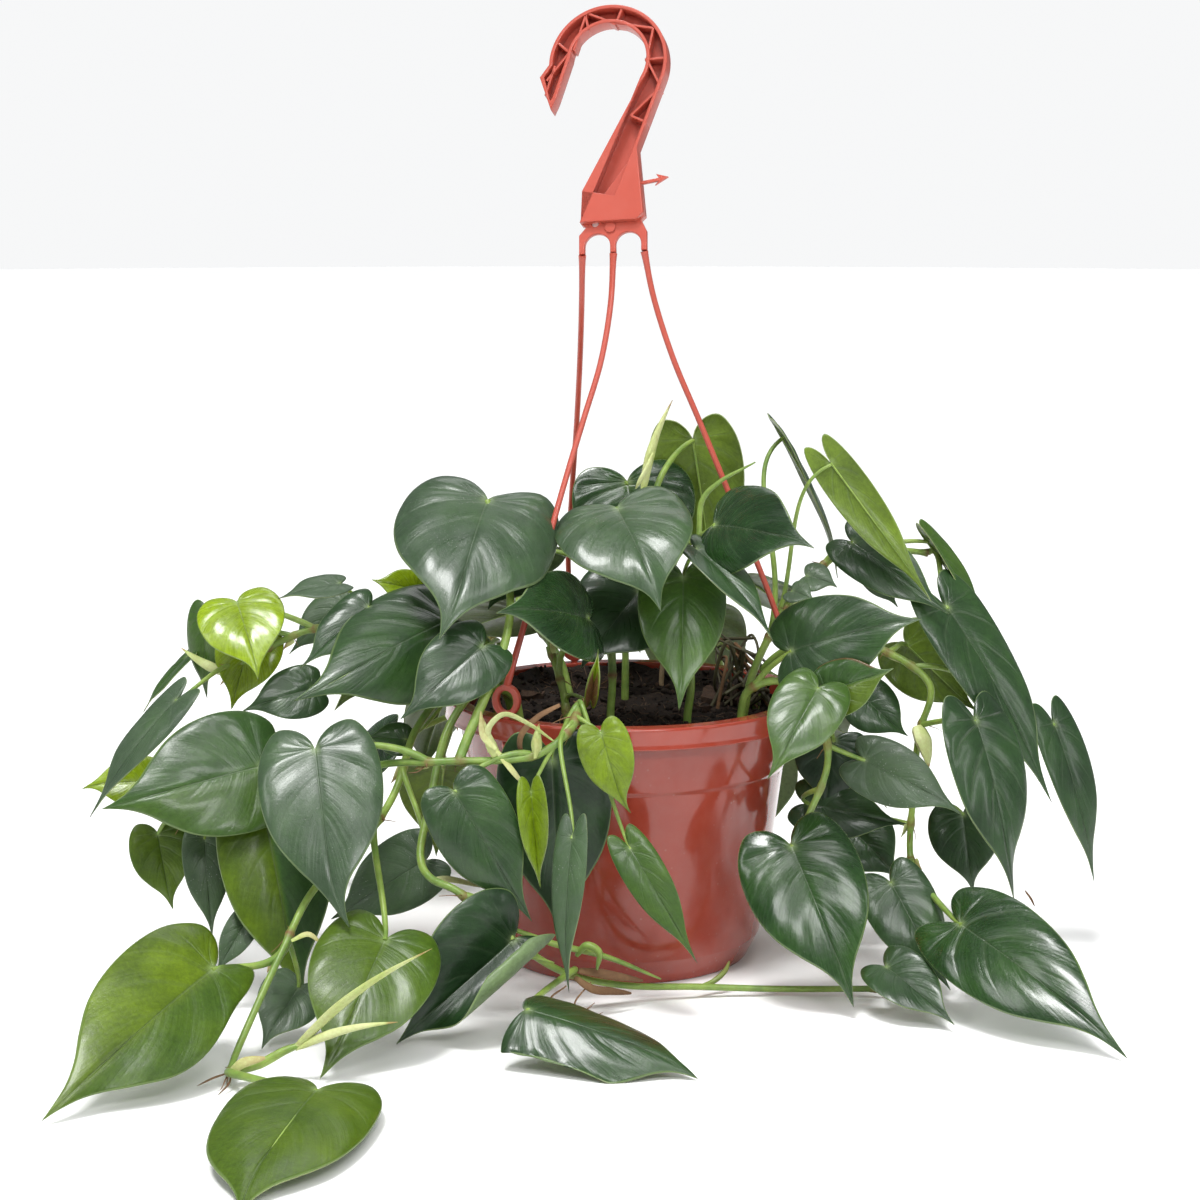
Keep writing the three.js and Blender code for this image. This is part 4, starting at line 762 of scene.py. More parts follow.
vines = {
    "crown_centre": {
        "route": [(-8, -12, 131), (-7, -10, 150), (-9, -4, 168), (-14, 4, 186)],
        "leaves": [
            leaf(0.35, (-5, -43, 244), (17, -92, 200), "frontUp", 35, 8, 30, "dusty"),
            leaf(0.95, (1, 27, 249), (9, 17, 190), "front", 34, 8, 15, "glossy", curl=(0, 0.9), ribs=0.7),
            leaf(0.6, (7, -20, 198), (-24, -46, 162), "front", 28, 10, 20, "dark"),
        ],
    },
    "crown_right": {
        "route": [(32, -20, 131), (34, -18, 150), (30, -8, 174), (22, -6, 200), (12, -8, 232), (9, -8, 250)],
        "leaves": [
            leaf(0.25, (29, -40, 208), (27, -78, 146), "front", 22, 8, 20, "mid"),
            leaf(0.35, (35, -50, 224), (73, -92, 185), "frontRight", 13, 20, 20, "dark"),
            leaf(
                0.55, (44, -42, 235), (92, -88, 232), "front", 26, 8, 20, "glossy",
                lobe=0.5, curl=(0, -0.7),
            ),
            leaf(0.75, (36, 32, 271), (47, 34, 194), "under", 26, 6, 15, "olive"),
        ],
        "shoots": [((9, -8, 249), (24, -6, 295), 2.6)],
        "curls": [
            ([(33, -36, 206), (37, -28, 225), (39, -24, 245), (47, -24, 254), (66, -26, 265)], 1.5, 1.0, 0),
            ([(14, -10, 268), (11, -13, 261), (7, -15, 254), (5, -15, 250)], 1.6, 0.45, 1),
        ],
    },
    "crown_left": {
        "route": [(-30, -40, 131), (-33, -36, 150), (-40, -30, 170)],
        "leaves": [
            leaf(0.6, (-19, -55, 189), (-64, -108, 203), "front", 24, 10, 25, "glossy"),
            leaf(0.9, (-53, -34, 214), (-71, -56, 194), "front", 13, 10, 15, "dark"),
            leaf(0.2, (-18, -69, 150), (-14, -72, 176), "front", 6, 55, 10, "ripe", spoil=(0.15, 0.8)),
        ],
    },
    "front_vine": {
        "route": [
            (-24, -66, 131), (-24, -70, 144), (-24, -92, 151), (-28, -108, 143), (-44, -115, 132),
            (-93, -118, 129), (-120, -111, 126), (-157, -96, 110), (-190, -80, 98), (-222, -66, 90),
        ],
        "leaves": [
            leaf(
                0.53, (-70, -48, 249), (-88, -112, 189), "frontUp", 44, 6, 25, "dusty",
                curl=(-1.3, 0), via=(-58, -82, 196),
            ),
            leaf(0.3, (-47, -122, 115), (-43, -127, 67), "front", 11, 50, 15, "ripe"),
            leaf(0.28, (-13, -113, 142), (-1, -117, 102), "front", 14, 15, 15, "ripe", hook=3),
            leaf(
                0.45, (-84, -128, 117), (-47, -132, 52), "front", 22, 8, 15, "dark",
                lobe=0.6, shoulders=(1, 0.9),
            ),
            leaf(0.57, (-151, -126, 137), (-137, -172, 60), "front", 30, 8, 20, "dusty", hook=6),
            leaf(0.8, (-182, -84, 119), (-258, -109, 102), "front", 33, 8, 20, "mid", sides=(0.06, -0.14)),
            leaf(0.95, (-245, -38, 101), (-281, -42, 99), "front", 14, 15, 15, "fresh"),
            leaf(1, (-241, -50, 76), (-233, -60, 38), "front", 16, 15, 15, "olive"),
            leaf(0.95, (-213, -76, 80), (-208, -90, 32), "front", 12, 15, 20, "grey"),
            leaf(0.9, (-188, -102, 46), (-204, -114, 20), "front", 9, 20, 15, "grey"),
            leaf(0.8, (-180, -92, 96), (-160, -120, 5), "front", 28, 10, 20, "olive", sides=(-0.42, 0)),
            leaf(0.35, (-27, -152, 100), (-29, -174, 30), "frontLeft", 10, 10, 20, "grey"),
            leaf(0.22, (-37, -102, 126), (-33, -98, 32), "front", 28, 4, 10, "deep"),
            leaf(0.2, (1, -118, 86), (34, -130, 31), "front", 11, 15, 15, "mid"),
        ],
        "shoots": [((-63, -117, 130), (-70, -120, 151), 2.6), ((-44, -115, 132), (-43, -118, 148), 2.8)],
        "curls": [
            ([
                (-67, -118, 134), (-68, -119, 141), (-67, -120, 147), (-60, -120, 153), (-48, -119, 148),
                (-36, -117, 139),
            ], 2.4, 0.3, 1),
            ([
                (-33, -112, 156), (-44, -113, 150), (-52, -114, 141), (-52, -114, 134), (-48, -114, 132),
            ], 1.8, 0.5, 2, 0.6),
            ([(-64, -121, 136), (-70, -122, 143), (-71, -123, 155)], 1.9, 0.3, 1, 0.5),
            ([(-45, -119, 131), (-44, -120, 137), (-45, -121, 142)], 1.8, 0.35, 1, 0.3),
            ([(-95, -121, 71), (-87, -121, 71), (-70, -121, 67)], 1.8, 0.4, 1, 0.5),
            ([(-64, -118, 135), (-57, -119, 126), (-50, -119, 117)], 1.7, 0.35, 1, 0.4),
        ],
    },
    "left_high": {
        "route": [
            (-60, -6, 131), (-66, -10, 150), (-86, -20, 168), (-120, -30, 178), (-160, -34, 180),
            (-207, -36, 157),
        ],
        "leaves": [
            leaf(0.12, (-89, -63, 190), (-161, -112, 156), "front", 32, -15, 25, "dark", ribs=0.6),
            leaf(0.1, (-71, -95, 182), (-110, -119, 150), "front", 20, 8, 20, "dark"),
            leaf(0.4, (-107, -34, 200), (-130, -40, 206), "front", 10, 15, 15, "fresh"),
            leaf(0.42, (-107, -20, 194), (-127, -22, 186), "front", 8, 15, 15, "fresh"),
            leaf(0.5, (-130, -60, 196), (-162, -80, 168), "frontUp", 14, 10, 20, "dark"),
            leaf(0.6, (-146, -42, 205), (-176, -54, 199), "up", 11, 10, 15, "grey"),
            leaf(0.62, (-146, -16, 191), (-175, -24, 165), "frontUp", 13, 10, 15, "grey"),
            leaf(0.45, (-159, -56, 153), (-194, -66, 144), "front", 14, 10, 15, "dark"),
            leaf(0.2, (-112, -62, 128), (-132, -64, 130), "front", 9, 10, 15, "dark"),
            leaf(0.8, (-198, -46, 196), (-183, -78, 163), "frontUp", 22, 8, 20, "fresh"),
            leaf(0.85, (-192, -32, 177), (-203, -42, 139), "front", 18, 8, 15, "fresh"),
            leaf(0.9, (-217, -24, 186), (-218, -28, 142), "frontLeft", 13, 10, 15, "mid"),
            leaf(0.98, (-228, -22, 163), (-251, -27, 135), "left", 10, 10, 15, "mid"),
            leaf(0.97, (-228, -60, 148), (-271, -74, 90), "steepLeft", 14, 10, 20, "grey"),
        ],
        "shoots": [((-206, -36, 157), (-229, -34, 170), 2.4)],
    },
    "left_floor": {
        "route": [
            (-66, -24, 131), (-70, -28, 147), (-88, -44, 152), (-106, -62, 134), (-116, -88, 106),
            (-130, -114, 88), (-152, -140, 70), (-164, -165, 48), (-181, -205, 12), (-183, -217, 6),
        ],
        "leaves": [
            leaf(0.4, (-100, -104, 76), (-147, -107, 46), "front", 19, 10, 15, "grey"),
            leaf(0.5, (-115, -165, 54), (-139, -219, 3), "front", 30, 8, 20, "olive", sides=(-0.08, -0.02)),
            leaf(0.75, (-158, -150, 26), (-174, -176, 4), "front", 16, 15, 15, "grey"),
            leaf(
                0.75, (-193, -190, 47), (-257, -272, 3), "front", 34, 8, 25, "olive",
                sides=(-0.14, 0.02), rise=-0.25, shoulders=(0.62, 1),
            ),
            leaf(1, (-138, -262, 14), (-161, -372, 3), "up", 33, 6, 15, "olive", full=1.5),
        ],
        "shoots": [((-153, -212, 16), (-89, -228, 68), 2.4), ((-153, -212, 16), (-105, -226, 33), 2)],
        "curls": [
            ([(-183, -217, 6), (-170, -215, 9), (-158, -213, 15), (-147, -212, 19)], 2.2, 1.0, 0),
            ([(-183, -219, 6), (-176, -221, 12), (-166, -220, 14)], 2.6, 0.4, 1, 0.6),
            ([(-164, -165, 48), (-169, -163, 43), (-172, -160, 36)], 1.6, 0.35, 1, 0.7),
            ([(-160, -162, 52), (-152, -161, 55), (-146, -162, 51)], 1.4, 0.35, 1, 0.5),
            ([(-184, -218, 6), (-190, -222, 5), (-197, -224, 2)], 0.5, 1.0, 2, 0.5),
            ([(-182, -219, 6), (-182, -226, 4), (-186, -233, 1)], 0.5, 1.0, 2, 0.5),
        ],
    },
    "front_floor": {
        "route": [
            (-54, -42, 131), (-58, -46, 147), (-74, -60, 154), (-89, -80, 138), (-97, -104, 106),
            (-101, -122, 82), (-96, -132, 75), (-82, -140, 70), (-61, -138, 50), (-32, -114, 22),
            (-2, -98, 10), (37, -88, 6), (74, -85, 4), (126, -88, 5),
        ],
        "leaves": [
            leaf(
                0.55, (-55, -138, 46), (-111, -168, 4), "frontRight", 32, 20, 15, "deep",
                curl=(3.5, 0), bend=0.05,
            ),
            leaf(
                0.7, (-48, -186, 26), (33, -210, 4), "up", 28, -18, 12, "dark",
                curl=(0, 2.7), bend=0.7, full=0.9, lobe=0.4, ribs=0.6,
            ),
            leaf(1, (128, -112, 24), (158, -144, 5), "frontUp", 16, 20, 15, "dark"),
        ],
        "curls": [
            ([(-60, -130, 50), (-36, -120, 38), (-10, -106, 27), (17, -94, 12)], 1.6, 1.0, 0),
            ([(-58, -132, 38), (-48, -128, 34), (-36, -122, 29)], 1.1, 1.0, 0),
            ([(-25, -113, 30), (-20, -116, 36), (-14, -117, 33), (-15, -117, 24)], 2.2, 0.9, 0),
            ([(-24, -112, 22), (-14, -110, 20), (-4, -106, 17), (8, -100, 13)], 2.6, 0.5, 2, 0.4),
            ([(-26, -114, 19), (-17, -117, 14), (-8, -114, 12), (2, -108, 9)], 2.3, 0.5, 2, 0.6),
            ([(-30, -118, 16), (-38, -121, 10), (-34, -126, 5), (-24, -126, 4), (-16, -120, 8)], 0.6, 1.0, 2),
            ([(-18, -112, 16), (-26, -124, 8), (-20, -130, 3), (-12, -126, 5)], 0.5, 1.0, 2),
            ([(34, -88, 5), (44, -82, 7), (50, -80, 12), (52, -80, 17)], 1.5, 0.9, 0, 0.5),
        ],
    },
    "right_high": {
        "route": [
            (62, -12, 131), (66, -10, 150), (78, -6, 176), (94, 0, 198), (112, 6, 212), (140, 12, 214),
            (160, 16, 212),
        ],
        "leaves": [
            leaf(0.35, (105, -20, 264), (156, -45, 196), "under", 11, 8, 20, "olive"),
            leaf(0.3, (83, 18, 274), (115, 20, 198), "edgeRight", 20, 8, 20, "dark"),
            leaf(0.6, (118, -5, 221), (166, -30, 186), "front", 16, 8, 20, "dark"),
            leaf(0.8, (160, 14, 219), (193, 6, 158), "right", 16, 30, 20, "mid"),
            leaf(0.45, (94, -12, 204), (110, -18, 200), "frontUp", 10, 15, 15, "grey"),
            leaf(0.4, (86, -18, 197), (97, -26, 194), "frontUp", 8, 15, 15, "grey"),
            leaf(0.7, (128, 14, 204), (145, 12, 183), "front", 8, 15, 15, "grey"),
            leaf(1, (167, -14, 188), (221, -34, 88), "frontRight", 23, 10, 20, "dark", ribs=0.7),
        ],
    },
    "right_mid": {
        "route": [
            (58, -46, 131), (62, -48, 150), (80, -54, 156), (98, -60, 138), (102, -62, 116),
            (92, -74, 92), (84, -82, 78),
        ],
        "leaves": [
            leaf(0.2, (82, -66, 174), (145, -86, 195), "front", 23, 6, 25, "dark", full=0.5),
            leaf(
                0.35, (99, -84, 157), (131, -94, 170), "front", 15, 15, 15, "mid",
                sides=(-0.1, 0.3), burn=1,
            ),
            leaf(0.45, (94, -94, 161), (69, -122, 121), "frontUp", 18, 8, 20, "mid"),
            leaf(0.6, (121, -56, 116), (170, -74, 93), "front", 17, 8, 15, "grey"),
            leaf(1, (82, -90, 80), (112, -124, 7), "front", 30, 8, 25, "glossy", ribs=0.6),
            leaf(0.5, (108, -28, 120), (103, -36, 84), "front", 20, 8, 15, "deep"),
            leaf(0.75, (94, -34, 88), (145, -44, 78), "front", 16, 8, 15, "dark"),
        ],
        "tangles": [((46, 4, 130), (78, 34, 168), 11), ((58, -10, 130), (82, 16, 152), 5)],
    },
    "right_far": {
        "route": [
            (70, 14, 131), (74, 14, 150), (96, 6, 166), (130, -10, 166), (158, -22, 148),
            (153, -20, 121), (150, -24, 87), (148, -34, 61), (150, -50, 50),
        ],
        "leaves": [
            leaf(0.4, (150, 20, 162), (187, 10, 127), "under", 20, 10, 15, "olive"),
            leaf(0.35, (124, -4, 139), (148, -12, 118), "front", 15, 10, 15, "dark"),
            leaf(0.6, (178, -52, 136), (195, -76, 48), "frontRight", 24, 8, 20, "dark", ribs=1),
            leaf(0.45, (227, 0, 123), (249, -10, 39), "frontRight", 16, 10, 20, "dark"),
            leaf(0.75, (181, 8, 72), (185, -2, 31), "front", 19, 10, 15, "dark"),
            leaf(0.8, (120, 8, 65), (146, -6, 40), "front", 20, 10, 15, "dark"),
            leaf(1, (164, -112, 46), (235, -188, 4), "front", 26, 8, 25, "glossy", ribs=0.8),
            leaf(0.9, (134, -72, 56), (161, -96, 6), "front", 19, 10, 15, "dark"),
        ],
        "shoots": [((152, -22, 126), (157, -32, 106), 5)],
        "curls": [
            ([(209, -30, 40), (212, -31, 36), (214, -32, 32)], 0.6, 1.0, 2, 0.5),
        ],
    },
    "back_top": {
        "route": [(0, 28, 131), (0, 32, 160), (-4, 40, 196)],
        "leaves": [
            leaf(0.95, (6, 60, 228), (-4, 104, 194), "back", 27, 8, 20, "dark"),
            leaf(0.9, (32, 46, 236), (60, 88, 204), "back", 27, 8, 20, "mid"),
            leaf(0.6, (8, 62, 186), (8, 110, 142), "back", 29, 8, 20, "dark"),
            leaf(0.8, (-46, 34, 214), (-90, 46, 190), "backLeft", 24, 8, 20, "dusty"),
        ],
    },
    "back_left": {
        "route": [
            (-30, 40, 131), (-36, 46, 150), (-56, 66, 168), (-78, 84, 150), (-92, 98, 116), (-104, 110, 80),
        ],
        "leaves": [
            leaf(0.3, (-56, 36, 178), (-100, 62, 156), "backLeft", 28, 8, 20, "dark"),
            leaf(0.4, (-60, 96, 180), (-100, 142, 142), "backLeft", 30, 8, 20, "dusty"),
            leaf(0.55, (-110, 70, 150), (-166, 96, 112), "backLeft", 28, 8, 20, "mid"),
            leaf(0.75, (-96, 124, 126), (-120, 160, 58), "backLeft", 28, 8, 20, "dark"),
            leaf(0.85, (-136, 96, 92), (-180, 118, 44), "left", 26, 8, 20, "glossy"),
            leaf(1, (-104, 130, 70), (-112, 164, 8), "back", 27, 8, 20, "olive"),
        ],
    },
    "back_right": {
        "route": [
            (30, 46, 131), (34, 52, 150), (44, 76, 170), (52, 98, 150), (58, 110, 112), (62, 120, 70),
        ],
        "leaves": [
            leaf(0.35, (66, 70, 190), (104, 110, 154), "backRight", 29, 8, 20, "dark"),
            leaf(0.55, (40, 120, 160), (46, 158, 96), "back", 31, 8, 20, "glossy"),
            leaf(0.6, (92, 104, 126), (134, 138, 78), "backRight", 28, 8, 20, "mid"),
            leaf(0.9, (70, 134, 80), (84, 164, 10), "back", 28, 8, 20, "dark"),
            leaf(0.8, (108, 80, 100), (152, 108, 52), "backRight", 26, 8, 20, "dusty"),
        ],
    },
}

bladeShape = {
    # half an outline from the sinus round the lobe to the drip tip, as shares of length and half width
    "outline": [
        (0, 0), (-0.07, 0.09), (-0.14, 0.32), (-0.15, 0.64), (-0.03, 0.9), (0.15, 1), (0.34, 0.96),
        (0.5, 0.81), (0.64, 0.54), (0.75, 0.28), (0.84, 0.13), (0.92, 0.055), (1, 0),
    ],
    "rows": 54,
    "columns": [0, 0.025, 0.07, 0.14, 0.23, 0.34, 0.46, 0.58, 0.7, 0.81, 0.9, 0.96, 1],
    "lobeShare": 0.4,   # of the outline, whose veins all start at the petiole
    "ribEnd": 0.62,     # where on the midrib the last side vein leaves it
    "thick": 0.5,
    "groove": 0.4,      # depth of the groove over the midrib
    "folds": 6,         # soft folds between the side veins
    "foldDepth": 0.02,
    "bow": 0.16,        # how far the sides sink from the fold
    "wave": 0.045,
    "roll": 0.05,
}


def outlineByLength(data, count):
    outline = []
    for share, side in bladeShape["outline"]:
        share = share * data["lobe"] if share < 0 else share + data["full"] * 0.3 * share * (1 - share)
        outline.append((share, side * 0.45, 0))
    fine = [splinePoint(outline, i / 400) for i in range(401)]
    run = [0]
    for a, b in zip(fine, fine[1:]):
        run.append(run[-1] + (b - a).length)
    places = []
    k = 0
    for i in range(count + 1):
        goal = run[-1] * i / count
        while k < 399 and run[k + 1] < goal:
            k += 1
        t = (goal - run[k]) / max(run[k + 1] - run[k], 1e-9)
        spot = fine[k].lerp(fine[k + 1], min(max(t, 0), 1))
        places.append((spot.x, max(spot.y / 0.45, 0)))
    return places


def bladeFrame(data):
    along = data["tip"] - data["base"]
    length = along.length
    along = along.normalized()
    out = (data["face"] - along * data["face"].dot(along)).normalized()
    return along, out.cross(along), out, length


# A place on the blade's middle layer, whose midrib is an arc from base to tip
def bladePlace(data, share, side, lift=0.0):
    along, across, out, length = bladeFrame(data)
    reach = length / (2 * math.sin(data["droop"] / 2))
    lean = data["droop"] / 2 - data["droop"] * share
    normal = out * math.cos(lean) - along * math.sin(lean)
    place = data["base"] + along * (reach * (math.sin(data["droop"] / 2) - math.sin(lean)))
    place = place + out * (reach * (math.cos(lean) - math.cos(data["droop"] / 2)))
    wide = abs(side)
    rise = wide * wide / (wide + 0.08) * math.sin(data["fold"]) - bladeShape["bow"] * wide * wide
    curl = data["curl"][0 if side > 0 else 1]
    bend = data["bend"]
    over = max(0.0, wide - bend)
    sideways = wide
    if curl and over:
        turn = curl * over / (1 - bend)
        sideways = bend + (1 - bend) / curl * math.sin(turn)
        rise += (1 - bend) / curl * (1 - math.cos(turn))
    sideways = math.copysign(sideways, side) * math.cos(data["fold"])
    tipward = max(0.0, (share - 0.68) / 0.32) ** 2
    place = place + across * (sideways * data["half"] + (data["hook"] or 0) * tipward)
    place = place + normal * (rise * data["half"] + lift)
    place.z = max(place.z, 0.4)
    return place


def addBlade(bm, data, layers, rng):
    small = data["half"] < 14
    rows = bladeShape["rows"] * 2 // 3 if small else bladeShape["rows"]
    columns = bladeShape["columns"][::2] if small else bladeShape["columns"]
    lobes = bladeShape["lobeShare"]
    half = data["half"]
    age, bloomAndSheen, gloss = looks[data["look"]]
    age = age + rng.uniform(-0.04, 0.04)
    if data["hook"] is None:
        data["hook"] = rng.uniform(-0.11, 0.11) * half
    outline = outlineByLength(data, rows)
    length = (data["tip"] - data["base"]).length
    phases = {1: rng.uniform(0, 6.28), -1: rng.uniform(0, 6.28)}
    ripples = {1: rng.uniform(1.0, 2.2), -1: rng.uniform(1.0, 2.2)}
    lobeScale = {1: rng.uniform(0.95, 1.05), -1: rng.uniform(0.95, 1.05)}
    seed = Vector((rng.uniform(0, 50), rng.uniform(0, 50), 0))
    made = []

    def place(i, s, hand):
        t = i / rows
        share, side = outline[i]
        side *= lobeScale[hand]
        side *= 1 - (1 - data["shoulders"][0 if hand > 0 else 1]) * math.exp(-(max(share, 0) / 0.3) ** 2)
        start = bladeShape["ribEnd"] * max(0, (t - lobes) / (1 - lobes)) ** 1.5
        u = 1 - s
        alongShare = start * u * u + (start + 0.32 * (share - start)) * 2 * s * u + share * s * s
        acrossShare = side * (0.78 * 2 * s * u + s * s)
        tapered = math.sin(math.pi * t) ** 0.5
        ripple = math.sin(2 * math.pi * ripples[hand] * t + phases[hand])
        lift = bladeShape["wave"] * half * s * s * ripple * tapered
        lift -= bladeShape["roll"] * half * s ** 5
        swell = 0.5 - 0.5 * math.cos(2 * math.pi * bladeShape["folds"] * t)
        depth = bladeShape["foldDepth"] * (0.5 + 1.4 * data["ribs"])
        lift += depth * half * swell * 4 * s * u * (acrossShare + 0.15) / 0.8
        lift += 0.035 * half * noise.noise(seed + Vector((alongShare * 2.6, hand * acrossShare * 2.2, 0)))
        lift -= bladeShape["groove"] * math.exp(-(acrossShare * half / 1.1) ** 2)
        vert = bm.verts.new(bladePlace(data, alongShare, hand * max(acrossShare, 1e-4), lift))
        # The two halves aged apart: painted light on one half and painted shade on the other, partly a real
        # difference in tone
        halfLightAndTone = data["sides"][0 if hand > 0 else 1] * min(1, acrossShare / 0.12)
        vert[layers["age"]] = min(max(age + halfLightAndTone, 0), 1)
        # Bloom: real dust specks and smudges, and a grey tint that paints sheen on the blade
        vert[layers["bloomAndSheen"]] = bloomAndSheen
        vert[layers["gloss"]] = gloss
        vert[layers["ribs"]] = data["ribs"]
        ribWidth = 0.25 + 0.5 * (half / 30) * (1 - 0.8 * max(alongShare, 0))
        vert[layers["fromRib"]] = acrossShare * half / ribWidth
        fromBase = math.hypot(alongShare * length, acrossShare * half * 1.4)
        vert[layers["pale"]] = math.exp(-(fromBase / (0.8 + half * 0.07)) ** 2)
        if data["spoil"]:
            low, high = data["spoil"]
            vert[layers["spoil"]] = 1.0 if s < 0.75 and low < t < high else 0.0
        if data["burn"] == hand:
            vert[layers["spoil"]] = 0.9 if s > 0.93 and 0.3 < t < 0.85 else 0.0
        return vert

    middle = [place(i, 0, 1) for i in range(rows + 1)]
    made.extend(middle)
    for hand in (1, -1):
        grid = [[middle[i]] + [place(i, s, hand) for s in columns[1:]] for i in range(rows + 1)]
        for i in range(rows):
            for j in range(len(columns) - 1):
                corners = [(i, j), (i + 1, j), (i + 1, j + 1), (i, j + 1)][::hand]
                face = bm.faces.new([grid[a][b] for a, b in corners])
                for loop, (a, b) in zip(face.loops, corners):
                    loop[layers["map"]].uv = (a / rows, 0.5 + 0.5 * hand * columns[b])
        made.extend(vert for row in grid for vert in row[1:])
    bmesh.ops.remove_doubles(bm, verts=made, dist=0.02)


stemShape = {
    "radius": 2.2,
    "tipRadius": 1.6,
    "nodeSwell": 0.7,
    "petiole": (0.75, 1.3),     # thinnest radius, and what the largest leaf adds
    "hole": 24,
}


def stemHeading(route, at, reach):
    return (splinePoint(route, at + reach) - splinePoint(route, at - reach)).normalized()


def petiolePath(route, data):
    start = splinePoint(route, data["at"])
    heading = stemHeading(route, data["at"], 0.01)
    along, _, out, _ = bladeFrame(data)
    end = bladePlace(data, 0.012, 0, -0.5)
    span = (end - start).length
    arrival = ((end - start).normalized() + along * 0.7 + out * 0.5).normalized()
    if data["via"]:
        return splinePath([start, Vector(data["via"]), end], 3)
    handle = start + heading * (0.25 * span) + Vector((0, 0, data["rise"] * span))
    return bezierPath(start, handle, end - arrival * (0.3 * span), end, max(8, round(span / 3)))


def addShoot(bm, start, end, radius):
    a = Vector(start)
    b = Vector(end)
    side = (b - a).cross(Vector((0.3, 1, 0.2))).normalized() * (b - a).length * 0.05
    path = [a.lerp(b, i / 16) + side * math.sin(math.pi * i / 16) for i in range(17)]
    shape = [(0, 0.7), (0.08, 1), (0.35, 1.2), (0.7, 0.7), (0.9, 0.28), (1, 0.06)]
    radii = []
    for i in range(17):
        t = i / 16
        k = next(n for n in range(1, 6) if t <= shape[n][0])
        low, high = shape[k - 1], shape[k]
        radii.append(radius * (low[1] + (high[1] - low[1]) * (t - low[0]) / (high[0] - low[0])))
    addTube(bm, path, radii, 12, 1, flat=0.62, scar=[0.8 if i > 14 else 0 for i in range(17)])


# A thin strip that tapers to both ends: a dried sheath, a rolled young blade, or a root when it is round
def addCurl(bm, points, wide, flat, material, scar=0.0):
    path = splinePath(points, 1.5)
    last = len(path) - 1
    swell = [math.sin(math.pi * (0.12 + 0.86 * i / last)) ** 0.7 for i in range(last + 1)]
    radii = [wide * (0.12 + 0.88 * share) for share in swell]
    addTube(bm, path, radii, 10, material, flat=flat, scar=[scar * i / last for i in range(last + 1)])


def addRoots(bm, place, rng):
    for _ in range(rng.randint(1, 3)):
        heading = Vector((rng.uniform(-1, 1), rng.uniform(-1, 1), rng.uniform(-1, 0.4))).normalized()
        path = [place]
        length = rng.uniform(4, 13)
        for k in range(6):
            heading = (heading + noise.noise_vector(path[-1] * 0.2) * 0.35).normalized()
            path.append(path[-1] + heading * length / 6)
        radius = rng.uniform(0.3, 0.55)
        addTube(bm, path, [radius * (1 - k / 9) for k in range(7)], 6, 2)


# Thin old stems and roots that wind about each other over the soil, between two corners of a box
def addTangle(bm, low, high, count, rng):
    for _ in range(count):
        places = [Vector([rng.uniform(a, b) for a, b in zip(low, high)]) for _ in range(4)]
        places[0].z = low[2]
        places[3].z = rng.choice((low[2], high[2]))
        path = splinePath(places, 3)
        radius = rng.uniform(0.7, 1.6)
        last = len(path) - 1
        radii = [radius * (1 - 0.5 * i / last) for i in range(last + 1)]
        addTube(bm, path, radii, 8, rng.choice((2, 3, 3)), scar=[0.4] * (last + 1))


def addNodeSheath(bm, place, heading, rng):
    aside = heading.orthogonal().normalized()
    aside = Matrix.Rotation(rng.uniform(0, 6.28), 3, heading) @ aside
    length = rng.uniform(6, 13)
    path = []
    for k in range(8):
        t = k / 7
        path.append(place + aside * (2.2 + 2.6 * t * t) + heading * length * t)
    radii = [1.5, 1.9, 2, 1.8, 1.45, 1, 0.5, 0.08]
    dry = rng.random() < 0.5
    addTube(bm, path, radii, 8, 1, flat=0.25, scar=[(0.9 if dry else 0.1) * k / 7 for k in range(8)])


leafMarks = ("age", "bloomAndSheen", "gloss", "ribs", "fromRib", "pale", "spoil")


